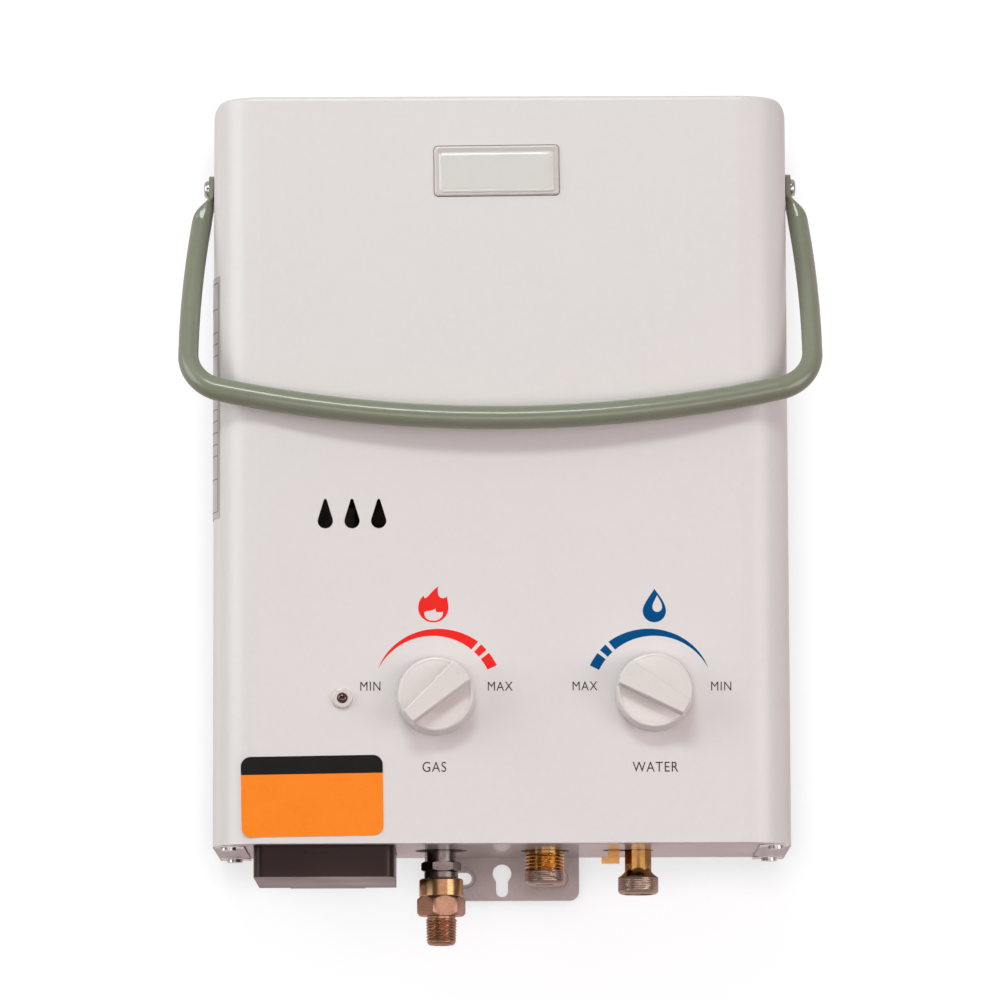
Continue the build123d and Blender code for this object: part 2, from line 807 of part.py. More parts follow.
with BuildPart() as injectors:
    for index in range(burner_bar_count):
        jet_x = (index - (burner_bar_count - 1) / 2) * burner_bar_pitch
        jet_front = manifold_span_y[1]
        jet_rear = jet_front + injector_length
        rod_y(jet_x, jet_front, jet_rear, venturi_z, injector_radius)
        rod_y(jet_x, jet_front, jet_rear, venturi_z, jet_radius, Mode.SUBTRACT)
injectors.part.label = "injectors"
export_step(injectors.part, "parts/injectors.step")

with BuildPart() as heat_cell_brackets:
    for bracket_z, bracket_front in ((burner_bracket_z, burner_rear), (chamber_bracket_z, cell_rear)):
        for side in (-1, 1):
            middle = side * bracket_spacing / 2
            span_x = (middle - bracket_width / 2, middle + bracket_width / 2)
            slab(span_x, (bracket_front, -plate_sheet), (bracket_z, bracket_z + bracket_sheet))
            foot_front = -plate_sheet - bracket_sheet
            slab(span_x, (foot_front, -plate_sheet), (bracket_z, bracket_z + bracket_foot))
heat_cell_brackets.part.label = "heat_cell_brackets"
export_step(heat_cell_brackets.part, "parts/heat_cell_brackets.step")

# ---------------------------------------------------------------- valve shelf
with BuildPart() as valve_bracket:
    shelf_span = (shelf_left, shelf_right)
    slab(shelf_span, (shelf_front, -plate_sheet), (shelf_bottom, shelf_z))
    foot_front = -plate_sheet - shelf_sheet
    slab(shelf_span, (foot_front, -plate_sheet), (shelf_foot_bottom, shelf_z))
    shelf_holes = (
        (gas_inlet_x, inlet_y, spigot_radius),
        (cold_x, inlet_y, cold_spigot_radius),
        (hot_x, hot_y, hot_spigot_radius),
    )
    for hole_x, hole_y, hole_radius in shelf_holes:
        rod_z(hole_x, hole_y, shelf_bottom, shelf_z, hole_radius + nest_gap, Mode.SUBTRACT)
    # Room for the round diaphragm housing and the drain boss.
    notch_x = (shelf_notch_left, shelf_notch_right)
    slab(notch_x, housing_notch, (shelf_bottom, shelf_z), Mode.SUBTRACT)
valve_bracket.part.label = "valve_bracket"
export_step(valve_bracket.part, "parts/valve_bracket.step")

# ---------------------------------------------------------------- gas valve
cap_inside = gas_body_left + cap_plug
with BuildPart() as gas_valve_body:
    slab((gas_body_left, gas_body_right), (body_front, gas_body_rear), (shelf_z, valve_top))
    fillet(gas_valve_body.edges().filter_by(Axis.Z), valve_edge)
    stem_bore = stem_radius + running_gap
    rod_y(gas_control_x, body_front, stem_rear, gas_control_z, stem_bore, Mode.SUBTRACT)
    # Valve chamber from the left, seat and push rod guide from the right.
    rod_x(gas_body_left, seat_x, push_y, push_z, chamber_radius, Mode.SUBTRACT)
    guide_left = gas_body_right - push_guide
    rod_x(seat_x, guide_left, push_y, push_z, seat_radius, Mode.SUBTRACT)
    rod_x(guide_left, gas_body_right, push_y, push_z, push_radius + running_gap, Mode.SUBTRACT)
    inlet_bore = spigot_radius + running_gap
    rod_z(gas_inlet_x, inlet_y, shelf_z, push_z, inlet_bore, Mode.SUBTRACT)
gas_valve_body.part.label = "gas_valve_body"
export_step(gas_valve_body.part, "parts/gas_valve_body.step")

with BuildPart() as gas_valve_cap:
    rod_x(gas_body_left - cap_flange, gas_body_left, push_y, push_z, cap_flange_radius)
    rod_x(gas_body_left, cap_inside, push_y, push_z, chamber_radius - seat_gap)
gas_valve_cap.part.label = "gas_valve_cap"
export_step(gas_valve_cap.part, "parts/gas_valve_cap.step")

disc_left = seat_x - valve_disc_sheet
with BuildPart() as gas_valve_disc:
    rod_x(disc_left, seat_x, push_y, push_z, valve_disc_radius)
    rod_x(disc_left - valve_disc_tail, disc_left, push_y, push_z, push_radius)
gas_valve_disc.part.label = "gas_valve_disc"
export_step(gas_valve_disc.part, "parts/gas_valve_disc.step")

spring_left = cap_inside + spring_wire
spring_right = disc_left - spring_wire
with BuildPart() as gas_valve_spring:
    spring_length = spring_right - spring_left
    spring_pitch = spring_length / spring_turns
    spring_start = (spring_left, push_y, push_z)
    with BuildLine() as winding:
        Helix(spring_pitch, spring_length, spring_radius, center=spring_start, direction=(1, 0, 0))
    with BuildSketch(Plane(origin=winding.wire() @ 0, z_dir=winding.wire() % 0)):
        Circle(spring_wire)
    sweep(path=winding.wire(), is_frenet=True)
gas_valve_spring.part.label = "gas_valve_spring"
export_step(gas_valve_spring.part, "parts/gas_valve_spring.step")

with BuildPart() as gas_solenoid:
    solenoid_rear = gas_body_rear + solenoid_length
    rod_y(solenoid_x, gas_body_rear, solenoid_rear, solenoid_z, solenoid_radius)
    tail_rear = solenoid_rear + spring_wire
    rod_y(solenoid_x, solenoid_rear, tail_rear, solenoid_z, push_radius)
gas_solenoid.part.label = "gas_solenoid"
export_step(gas_solenoid.part, "parts/gas_solenoid.step")

# ---------------------------------------------------------------- water valve
with BuildPart() as water_valve_body:
    water_span = (water_body_left, water_body_right)
    slab(water_span, (body_front, gas_body_rear), (shelf_z, valve_top))
    fillet(water_valve_body.edges().filter_by(Axis.Z), valve_edge)
    rod_x(housing_face, water_body_left, push_y, push_z, housing_radius)
    rod_z(drain_x, inlet_y, drain_boss_bottom, shelf_z, drain_boss_radius)
    rod_x(housing_face, housing_face + water_room_depth, push_y, push_z, diaphragm_room, Mode.SUBTRACT)
    rod_y(water_control_x, body_front, stem_rear, water_control_z, stem_bore, Mode.SUBTRACT)
    cold_bore = cold_spigot_radius + running_gap
    rod_z(cold_x, inlet_y, shelf_z, push_z, cold_bore, Mode.SUBTRACT)
    drain_bore = drain_stem_radius + running_gap
    drain_top = shelf_z + drain_stem_depth
    rod_z(drain_x, inlet_y, drain_boss_bottom, drain_top, drain_bore, Mode.SUBTRACT)
    with BuildSketch(Plane.YZ.offset(housing_face)):
        with Locations((push_y, push_z)):
            with PolarLocations(valve_screw_reach, valve_screw_count):
                Circle(valve_screw_radius + seat_gap)
    extrude(amount=valve_screw_depth, mode=Mode.SUBTRACT)
water_valve_body.part.label = "water_valve_body"
export_step(water_valve_body.part, "parts/water_valve_body.step")

with BuildPart() as diaphragm:
    rod_x(diaphragm_face, housing_face, push_y, push_z, housing_radius)
    rod_hole = push_radius + running_gap
    rod_x(diaphragm_face, housing_face, push_y, push_z, rod_hole, Mode.SUBTRACT)
    with BuildSketch(Plane.YZ.offset(diaphragm_face)):
        with Locations((push_y, push_z)):
            with PolarLocations(valve_screw_reach, valve_screw_count):
                Circle(valve_screw_radius + seat_gap)
    extrude(amount=diaphragm_sheet, mode=Mode.SUBTRACT)
diaphragm.part.label = "diaphragm"
export_step(diaphragm.part, "parts/diaphragm.step")

with BuildPart() as water_valve_cover:
    rod_x(cover_face, diaphragm_face, push_y, push_z, housing_radius)
    room_left = diaphragm_face - plate_room_depth
    rod_x(room_left, diaphragm_face, push_y, push_z, diaphragm_room, Mode.SUBTRACT)
    rod_x(cover_face, room_left, push_y, push_z, rod_hole, Mode.SUBTRACT)
    with BuildSketch(Plane.YZ.offset(cover_face)):
        with Locations((push_y, push_z)):
            with PolarLocations(valve_screw_reach, valve_screw_count):
                Circle(valve_screw_radius + seat_gap)
    extrude(amount=housing_cover, mode=Mode.SUBTRACT)
water_valve_cover.part.label = "water_valve_cover"
export_step(water_valve_cover.part, "parts/water_valve_cover.step")

with BuildPart() as valve_screws:
    with BuildSketch(Plane.YZ.offset(cover_face - valve_screw_head_height)):
        with Locations((push_y, push_z)):
            with PolarLocations(valve_screw_reach, valve_screw_count):
                Circle(valve_screw_head)
    extrude(amount=valve_screw_head_height)
    with BuildSketch(Plane.YZ.offset(cover_face)):
        with Locations((push_y, push_z)):
            with PolarLocations(valve_screw_reach, valve_screw_count):
                Circle(valve_screw_radius)
    extrude(amount=housing_cover + diaphragm_sheet + valve_screw_depth)
valve_screws.part.label = "valve_screws"
export_step(valve_screws.part, "parts/valve_screws.step")

with BuildPart() as push_rod:
    rod_x(seat_x, housing_face, push_y, push_z, push_radius)
    plate_right = diaphragm_face - seat_gap
    rod_x(plate_right - rod_plate_sheet, plate_right, push_y, push_z, rod_plate_radius)
push_rod.part.label = "push_rod"
export_step(push_rod.part, "parts/push_rod.step")

with BuildPart() as micro_switch:
    switch_left = cover_face - switch_size[0]
    switch_y = (push_y - switch_size[1] / 2, push_y + switch_size[1] / 2)
    switch_span_z = (switch_z - switch_size[2] / 2, switch_z + switch_size[2] / 2)
    slab((switch_left, cover_face), switch_y, switch_span_z)
    fillet(micro_switch.edges().filter_by(Axis.X), switch_edge)
micro_switch.part.label = "micro_switch"
export_step(micro_switch.part, "parts/micro_switch.step")

# ---------------------------------------------------------------- control stems and knobs
controls = (
    ("gas_stem", "gas_knob", gas_control_x, gas_control_z, gas_pointer),
    ("water_stem", "water_knob", water_control_x, water_control_z, water_pointer),
)
for stem_name, knob_name, control_x, control_z, pointer_angle in controls:
    across = (cos(radians(pointer_angle)), 0, sin(radians(pointer_angle)))

    with BuildPart() as stem:
        rod_y(control_x, body_front, stem_rear, control_z, stem_radius)
        rod_y(control_x, spindle_end, body_front, control_z, spindle_radius)
        flat_plane = Plane(origin=(control_x, spindle_end, control_z), x_dir=across, z_dir=(0, 1, 0))
        with BuildSketch(flat_plane):
            with Locations((0, spindle_flat + spindle_radius)):
                Rectangle(2 * spindle_radius, 2 * spindle_radius)
        extrude(amount=spindle_flat_length, mode=Mode.SUBTRACT)
    stem.part.label = stem_name
    export_step(stem.part, f"parts/{stem_name}.step")

    with BuildPart() as knob:
        knob_plane = Plane(origin=(control_x, knob_back, control_z), x_dir=across, z_dir=(0, -1, 0))
        with BuildSketch(knob_plane):
            Circle(knob_base_radius)
        extrude(amount=knob_disc, taper=knob_taper)
        face_radius = knob_base_radius - knob_disc * sin(radians(knob_taper))
        fillet(knob.edges().filter_by(GeomType.CIRCLE).sort_by(Axis.Y)[0], knob_edge)
        with BuildSketch(knob_plane.offset(knob_disc)):
            grip_half = face_radius - knob_edge
            with BuildLine():
                Polyline(
                    (-grip_half, -grip_narrow / 2),
                    (grip_half, -grip_wide / 2),
                    (grip_half, grip_wide / 2),
                    (-grip_half, grip_narrow / 2),
                    close=True,
                )
            make_face()
            Circle(grip_half, mode=Mode.INTERSECT)
        extrude(amount=grip_height)
        fillet(knob.faces().sort_by(Axis.Y)[0].edges(), grip_edge)
        # Pointer dimple, then the D-shaped bore for the spindle.
        with BuildSketch(knob_plane.offset(knob_disc + grip_height)):
            with Locations((pointer_reach, 0)):
                Circle(pointer_radius)
        extrude(amount=-pointer_depth, mode=Mode.SUBTRACT)
        with BuildSketch(knob_plane) as bore:
            Circle(spindle_radius + seat_gap)
        extrude(bore.sketch, amount=knob_bore_depth + seat_gap, mode=Mode.SUBTRACT)
        key_plane = Plane(origin=(control_x, spindle_end, control_z), x_dir=across, z_dir=(0, 1, 0))
        with BuildSketch(key_plane) as key:
            Circle(spindle_radius + seat_gap)
            with Locations((0, spindle_flat + seat_gap - spindle_radius)):
                Rectangle(3 * spindle_radius, 2 * spindle_radius, mode=Mode.SUBTRACT)
        extrude(key.sketch, amount=spindle_flat_length - panel_gap)
    knob.part.label = knob_name
    export_step(knob.part, f"parts/{knob_name}.step")

# ---------------------------------------------------------------- ignition
igniter_right = igniter_left + igniter_width
igniter_front = -plate_sheet - igniter_depth
igniter_top = igniter_bottom + igniter_height
with BuildPart() as igniter_module:
    span_y = (igniter_front, -plate_sheet)
    slab((igniter_left, igniter_right), span_y, (igniter_bottom, igniter_top))
    fillet(igniter_module.edges().filter_by(Axis.Y), igniter_edge)
igniter_module.part.label = "igniter_module"
export_step(igniter_module.part, "parts/igniter_module.step")

electrodes = (("ignition_electrode", -1), ("flame_sensor", 1))
for electrode_name, side in electrodes:
    with BuildPart() as electrode:
        electrode_x = side * electrode_spacing / 2
        tip_front = front_y + electrode_front_room
        tip_rear = cell_front + electrode_inside
        collar_front = cell_front - electrode_collar_length
        rod_y(electrode_x, tip_front, tip_rear, electrode_z, electrode_radius)
        rod_y(electrode_x, collar_front, cell_front, electrode_z, electrode_collar)
        wire_rear = tip_rear + electrode_wire_length
        rod_y(electrode_x, tip_rear, wire_rear, electrode_z, electrode_wire)
    electrode.part.label = electrode_name
    export_step(electrode.part, f"parts/{electrode_name}.step")

with BuildPart() as overheat_cutout:
    rod_y(cutout_x, cell_front - cutout_length, cell_front, pipe_z, cutout_radius)
    fillet(overheat_cutout.faces().sort_by(Axis.Y)[0].edges(), cutout_edge)
overheat_cutout.part.label = "overheat_cutout"
export_step(overheat_cutout.part, "parts/overheat_cutout.step")

lead_y = -plate_sheet - igniter_depth / 2
lead_front_y = front_y + cover_sheet + lead_front_room
with BuildPart() as ignition_lead:
    lead_x = igniter_right - lead_bend
    lead_points = (
        (lead_x, lead_y, igniter_top),
        (lead_x, lead_y, electrode_z),
        (lead_x, lead_front_y, electrode_z),
        (-electrode_spacing / 2, lead_front_y, electrode_z),
        (-electrode_spacing / 2, front_y + electrode_front_room, electrode_z),
    )
    run_pipe(lead_points, [lead_bend, lead_bend, 2 * lead_radius], lead_radius, lead_radius)
ignition_lead.part.label = "ignition_lead"
export_step(ignition_lead.part, "parts/ignition_lead.step")

lamp_rear = front_y + bezel_depth
battery_middle_y = (box_front + box_rear) / 2
battery_middle_x = (box_left + box_right) / 2
with BuildPart() as low_voltage_leads:
    lamp_lead_z = igniter_bottom + lead_rise
    lamp_points = (
        (lamp_x, lamp_rear, lamp_z),
        (lamp_x, igniter_front, lamp_z),
        (lamp_x, igniter_front, lamp_lead_z),
        (lamp_x, lead_y, lamp_lead_z),
        (igniter_right, lead_y, lamp_lead_z),
    )
    run_pipe(lamp_points, lead_bend, fine_lead_radius, fine_lead_radius)
    rise_y = igniter_front + 2 * fine_lead_radius
    battery_points = (
        (lead_x, battery_middle_y, box_top),
        (lead_x, battery_middle_y, box_top + lead_rise),
        (lead_x, rise_y, box_top + lead_rise),
        (lead_x, rise_y, igniter_bottom),
    )
    run_pipe(battery_points, lead_bend, fine_lead_radius, fine_lead_radius)
low_voltage_leads.part.label = "low_voltage_leads"
export_step(low_voltage_leads.part, "parts/low_voltage_leads.step")

# ---------------------------------------------------------------- battery compartment
box_shell_front = box_front + door_rim_depth + door_gap
box_shell_bottom = box_bottom + door_sheet + door_gap
ear_places = (box_left + hinge_ear, box_right - 2 * hinge_ear)
with BuildPart() as battery_box:
    with BuildSketch(Plane.XY.offset(box_shell_bottom)):
        box_plan(0, box_shell_front)
    extrude(amount=box_top - box_shell_bottom)
    with BuildSketch(Plane.XY.offset(floor_top)):
        box_plan(-box_flange, box_shell_front)
    extrude(amount=box_flange_sheet)
    inner_x = (box_left + box_wall, box_right - box_wall)
    inner_y = (box_shell_front + box_front_wall, box_rear - box_wall)
    slab(inner_x, inner_y, (box_shell_bottom, box_top - box_wall), Mode.SUBTRACT)
    for ear_x in ear_places:
        rod_x(ear_x, ear_x + hinge_ear, hinge_y, hinge_z, hinge_radius)
        slab((ear_x, ear_x + hinge_ear), (box_rear, hinge_y), (hinge_z, hinge_z + hinge_radius))
        rod_x(ear_x, ear_x + hinge_ear, hinge_y, hinge_z, hinge_pin_radius + seat_gap, Mode.SUBTRACT)
battery_box.part.label = "battery_box"
export_step(battery_box.part, "parts/battery_box.step")

knuckle_left = ear_places[0] + hinge_ear + door_gap
knuckle_right = ear_places[1] - door_gap
door_top = box_bottom + door_sheet
with BuildPart() as battery_door:
    with BuildSketch(Plane.XY.offset(box_bottom)):
        box_plan(0, box_front)
        fillet(vertices().sort_by(Axis.Y)[:2], box_corner)
    extrude(amount=door_rim_top - box_bottom)
    slab((box_left, box_right), (box_front + door_rim_depth, 0), (door_top, box_top), Mode.SUBTRACT)
    with BuildSketch(Plane.XY.offset(door_top)):
        rim_inset_front = box_front + box_wall
        with Locations((battery_middle_x, rim_inset_front + door_rim_depth)):
            Rectangle(box_right - box_left - 2 * box_wall, 2 * door_rim_depth)
        fillet(vertices().sort_by(Axis.Y)[:2], box_corner - box_wall)
    extrude(amount=box_top - door_top, mode=Mode.SUBTRACT)
    slab((knuckle_left, knuckle_right), (box_rear, hinge_y), (box_bottom, door_top))
    rod_x(knuckle_left, knuckle_right, hinge_y, hinge_z, hinge_radius)
    slab((knuckle_left, knuckle_right), (hinge_y, hinge_y + hinge_radius), (box_bottom, hinge_z))
    rod_x(knuckle_left, knuckle_right, hinge_y, hinge_z, hinge_pin_radius + running_gap, Mode.SUBTRACT)
    # Finger latch on the front.
    latch_x_span = (latch_x - latch_width / 2, latch_x + latch_width / 2)
    latch_top = door_rim_top - latch_drop
    latch_y_span = (box_front - latch_proud, box_front)
    slab(latch_x_span, latch_y_span, (latch_top - latch_height, latch_top))
battery_door.part.label = "battery_door"
export_step(battery_door.part, "parts/battery_door.step")

with BuildPart() as door_hinge_pin:
    pin_right = ear_places[1] + hinge_ear
    rod_x(ear_places[0], pin_right, hinge_y, hinge_z, hinge_pin_radius)
door_hinge_pin.part.label = "door_hinge_pin"
export_step(door_hinge_pin.part, "parts/door_hinge_pin.step")

cell_z = box_top - box_wall - nest_gap - cell_radius
contact_front = inner_y[0] + contact_sheet
cell_ends = (contact_front + cell_tip, contact_front + cell_tip + cell_length)
with BuildPart() as battery_cells:
    for side in (-1, 1):
        cell_x = battery_middle_x + side * cell_pitch / 2
        rod_y(cell_x, cell_ends[0], cell_ends[1], cell_z, cell_radius)
        rod_y(cell_x, contact_front, cell_ends[0], cell_z, cell_tip_radius)
battery_cells.part.label = "battery_cells"
export_step(battery_cells.part, "parts/battery_cells.step")

with BuildPart() as battery_contacts:
    contact_half = contact_width / 2
    contact_reach = cell_pitch / 2 + contact_half
    plate_span_z = (cell_z - contact_half, cell_z + contact_half)
    plate_span_x = (battery_middle_x - contact_reach, battery_middle_x + contact_reach)
    slab(plate_span_x, (inner_y[0], contact_front), plate_span_z)
    slab(plate_span_x, (inner_y[1] - contact_sheet, inner_y[1]), plate_span_z)
    for side in (-1, 1):
        cell_x = battery_middle_x + side * cell_pitch / 2
        with BuildSketch(Plane.XZ.offset(-inner_y[1] + contact_sheet)) as wide_end:
            with Locations((cell_x, cell_z)):
                Circle(contact_spring_radius)
        with BuildSketch(Plane.XZ.offset(-cell_ends[1])) as narrow_end:
            with Locations((cell_x, cell_z)):
                Circle(contact_spring_tip)
        loft([wide_end.sketch, narrow_end.sketch])
battery_contacts.part.label = "battery_contacts"
export_step(battery_contacts.part, "parts/battery_contacts.step")

# ---------------------------------------------------------------- indicator lamp
with BuildPart() as led_bezel:
    rod_y(lamp_x, front_y - bezel_height, front_y, lamp_z, bezel_radius)
    fillet(led_bezel.faces().sort_by(Axis.Y)[0].edges(), bezel_edge)
    rod_y(lamp_x, front_y, lamp_rear, lamp_z, bezel_barrel)
    lens_bore = lens_radius + seat_gap
    rod_y(lamp_x, front_y - bezel_height, lamp_rear, lamp_z, lens_bore, Mode.SUBTRACT)
led_bezel.part.label = "led_bezel"
export_step(led_bezel.part, "parts/led_bezel.step")

with BuildPart() as led_lens:
    rod_y(lamp_x, front_y - bezel_height - lens_proud, lamp_rear, lamp_z, lens_radius)
    fillet(led_lens.faces().sort_by(Axis.Y)[0].edges(), lens_dome)
led_lens.part.label = "led_lens"
export_step(led_lens.part, "parts/led_lens.step")

# ---------------------------------------------------------------- badge and labels
with BuildPart() as badge:
    with BuildSketch(Plane.XZ.offset(casing_depth)):
        with Locations((badge_x, badge_z)):
            RectangleRounded(badge_width, badge_height, badge_corner)
    extrude(amount=badge_thickness)
    fillet(badge.faces().sort_by(Axis.Y)[0].edges(), badge_edge)
badge.part.label = "badge"
export_step(badge.part, "parts/badge.step")

with BuildPart() as front_label:
    with BuildSketch(Plane.XZ.offset(casing_depth)):
        with Locations((front_label_x, front_label_z)):
            RectangleRounded(front_label_width, front_label_height, front_label_corner)
    extrude(amount=label_sheet)
front_label.part.label = "front_label"
export_step(front_label.part, "parts/front_label.step")

with BuildPart() as rating_label:
    label_inner = corner_radius + seat_gap
    label_outer = label_inner + label_sheet
    wrap_angle = radians(side_label_wrap)
    wrap_half = wrap_angle / 2

    with BuildSketch(Plane.XY.offset(side_label_bottom)):
        with BuildLine():
            outside = [on_bend(label_outer, angle) for angle in (0, wrap_half, wrap_angle)]
            inside = [on_bend(label_inner, angle) for angle in (0, wrap_half, wrap_angle)]
            rear_outside = (outside[0][0], side_label_rear)
            rear_inside = (inside[0][0], side_label_rear)
            Line(rear_outside, outside[0])
            ThreePointArc(*outside)
            Line(outside[2], inside[2])
            ThreePointArc(*inside)
            Polyline(inside[0], rear_inside, rear_outside)
        make_face()
    extrude(amount=side_label_height)
rating_label.part.label = "rating_label"
export_step(rating_label.part, "parts/rating_label.step")

# ---------------------------------------------------------------- carrying handle
# The bar's ends meet the flat front first, and that sets how far the handle leans.
flat_half = half_width - corner_radius
flat_reach = handle_reach - handle_bow + sqrt(handle_bow**2 - flat_half**2)
rest_depth = handle_pivot_y - front_y + handle_tube + handle_rest_gap
tilt = asin(rest_depth / flat_reach)
reach_way = (0, -sin(tilt), -cos(tilt))
handle_plane = Plane(
    origin=(0, handle_pivot_y, handle_pivot_z),
    x_dir=(1, 0, 0),
    z_dir=(0, cos(tilt), -sin(tilt)),
)
arm_x = half_width + handle_side_gap + arm_tube
corner_x = arm_x - handle_corner
corner_reach = sqrt((handle_bow - handle_corner) ** 2 - corner_x**2) - (handle_bow - handle_reach)
bar_angle = degrees(atan2(corner_reach + handle_bow - handle_reach, corner_x))
arm_angle = degrees(asin((corner_reach - arm_round_start) / arm_bow))
with BuildPart() as carry_handle:
    with BuildLine(handle_plane) as arm_line:
        CenterArc((arm_x - arm_bow, corner_reach), arm_bow, -arm_angle, arm_angle)
    with BuildLine(handle_plane) as corner_line:
        CenterArc((corner_x, corner_reach), handle_corner, 0, bar_angle)
    with BuildLine(handle_plane) as bar_line:
        CenterArc((0, handle_reach - handle_bow), handle_bow, bar_angle, 90 - bar_angle)
    arm_wire = arm_line.wire()
    corner_wire = corner_line.wire()
    bar_wire = bar_line.wire()
    with BuildSketch(Plane(origin=arm_wire @ 0, z_dir=arm_wire % 0)) as round_end:
        Circle(arm_tube)
    sweep(round_end.sketch, path=arm_wire)
    # The tube grows to its full size round the corner.
    flat_way = handle_plane.z_dir
    with BuildSketch(Plane(origin=corner_wire @ 0, x_dir=flat_way, z_dir=corner_wire % 0)) as slim_end:
        Circle(arm_tube)
    with BuildSketch(Plane(origin=corner_wire @ 1, x_dir=flat_way, z_dir=corner_wire % 1)) as full_end:
        Circle(handle_tube)
    sweep([slim_end.sketch, full_end.sketch], path=corner_wire, multisection=True)
    sweep(full_end.sketch, path=bar_wire)
    # Right end of the tube, pressed flat.
    tab_x = tab_inner + tab_thickness / 2
    waist_place = handle_plane.from_local_coords((arm_x - arm_waist_set_in, arm_waist, 0))
    flat_place = handle_plane.from_local_coords((tab_x, tab_length, 0))
    with BuildSketch(Plane(origin=waist_place, x_dir=(1, 0, 0), z_dir=reach_way)) as waist:
        RectangleRounded(arm_waist_size[0], arm_waist_size[1], arm_waist_corner)
    with BuildSketch(Plane(origin=flat_place, x_dir=(1, 0, 0), z_dir=reach_way)) as flat_end:
        RectangleRounded(tab_thickness, 2 * tab_end_radius, tab_edge)
    loft([round_end.sketch, waist.sketch, flat_end.sketch])
    with BuildSketch(
        Plane(origin=(tab_inner, handle_pivot_y, handle_pivot_z), x_dir=reach_way, z_dir=(1, 0, 0))
    ) as tab:
        Circle(tab_end_radius)
        with Locations((tab_length / 2, 0)):
            Rectangle(tab_length, 2 * tab_end_radius)
        Circle(bush_radius + running_gap, mode=Mode.SUBTRACT)
    extrude(tab.sketch, amount=tab_thickness)
    mirror(about=Plane.YZ)
carry_handle.part.label = "carry_handle"
export_step(carry_handle.part, "parts/carry_handle.step")

nut_inner = half_width - cover_sheet - handle_nut_height
with BuildPart() as handle_bushes:
    rod_x(half_width, bush_outer, handle_pivot_y, handle_pivot_z, bush_flange_radius)
    rod_x(bush_outer, tab_outer + screw_gap, handle_pivot_y, handle_pivot_z, bush_radius)
    bush_bore = handle_screw_radius + seat_gap
    rod_x(half_width, tab_outer + screw_gap, handle_pivot_y, handle_pivot_z, bush_bore, Mode.SUBTRACT)
    mirror(about=Plane.YZ)
handle_bushes.part.label = "handle_bushes"
export_step(handle_bushes.part, "parts/handle_bushes.step")

with BuildPart() as handle_screws:
    rod_x(nut_inner, screw_seat, handle_pivot_y, handle_pivot_z, handle_screw_radius)
    head_end = screw_seat + handle_screw_dome
    rod_x(screw_seat, head_end, handle_pivot_y, handle_pivot_z, handle_screw_head)
    fillet(handle_screws.faces().sort_by(Axis.X)[-1].edges(), handle_screw_edge)
    mirror(about=Plane.YZ)
handle_screws.part.label = "handle_screws"
export_step(handle_screws.part, "parts/handle_screws.step")

with BuildPart() as handle_nuts:
    nut_outer = nut_inner + handle_nut_height
    hex_x(nut_inner, nut_outer, handle_pivot_y, handle_pivot_z, handle_nut_flats)
    nut_bore = handle_screw_radius + seat_gap
    rod_x(nut_inner, nut_outer, handle_pivot_y, handle_pivot_z, nut_bore, Mode.SUBTRACT)
    mirror(about=Plane.YZ)
handle_nuts.part.label = "handle_nuts"
export_step(handle_nuts.part, "parts/handle_nuts.step")

# ---------------------------------------------------------------- gas inlet
flare_bottom = nipple_bottom - flare_height
with BuildPart() as gas_inlet_nipple:
    rod_z(gas_inlet_x, inlet_y, shelf_bottom, shelf_z + spigot_height, spigot_radius)
    rod_z(gas_inlet_x, inlet_y, nipple_hex_top, shelf_bottom, nipple_radius)
    hex_z(gas_inlet_x, inlet_y, nipple_hex_bottom, nipple_hex_top, nipple_hex_flats)
    rod_z(gas_inlet_x, inlet_y, nipple_collar_bottom, nipple_hex_bottom, nipple_collar_radius)
    rod_z(gas_inlet_x, inlet_y, nipple_bottom, nipple_collar_bottom, nipple_shank_radius)
    bore_top = shelf_z + spigot_height
    rod_z(gas_inlet_x, inlet_y, nipple_bottom, bore_top, gas_bore_radius, Mode.SUBTRACT)
gas_inlet_nipple.part.label = "gas_inlet_nipple"
export_step(gas_inlet_nipple.part, "parts/gas_inlet_nipple.step")

with BuildPart() as gas_swivel_nut:
    rod_z(gas_inlet_x, inlet_y, swivel_hex_top, swivel_top, swivel_radius)
    hex_z(gas_inlet_x, inlet_y, swivel_bottom, swivel_hex_top, swivel_hex_flats)
    wide_bore = nipple_shank_radius + running_gap
    narrow_bore = adapter_shank_radius + running_gap
    rod_z(gas_inlet_x, inlet_y, swivel_bottom, swivel_top, narrow_bore, Mode.SUBTRACT)
    wide_bottom = flare_bottom - running_gap
    rod_z(gas_inlet_x, inlet_y, wide_bottom, swivel_top, wide_bore, Mode.SUBTRACT)
gas_swivel_nut.part.label = "gas_swivel_nut"
export_step(gas_swivel_nut.part, "parts/gas_swivel_nut.step")

with BuildPart() as gas_adapter:
    neck_top = swivel_bottom - nest_gap
    rod_z(gas_inlet_x, inlet_y, flare_bottom, nipple_bottom, nipple_shank_radius)
    rod_z(gas_inlet_x, inlet_y, neck_top, flare_bottom, adapter_shank_radius)
    rod_z(gas_inlet_x, inlet_y, gas_thread_top, neck_top, adapter_neck_radius)
    rod_z(gas_inlet_x, inlet_y, gas_thread_bottom, gas_thread_top, gas_thread_radius)
    chamfer(gas_adapter.faces().sort_by(Axis.Z)[0].edges(), thread_chamfer)
    rod_z(gas_inlet_x, inlet_y, gas_thread_bottom, nipple_bottom, gas_bore_radius, Mode.SUBTRACT)
gas_adapter.part.label = "gas_adapter"
export_step(gas_adapter.part, "parts/gas_adapter.step")

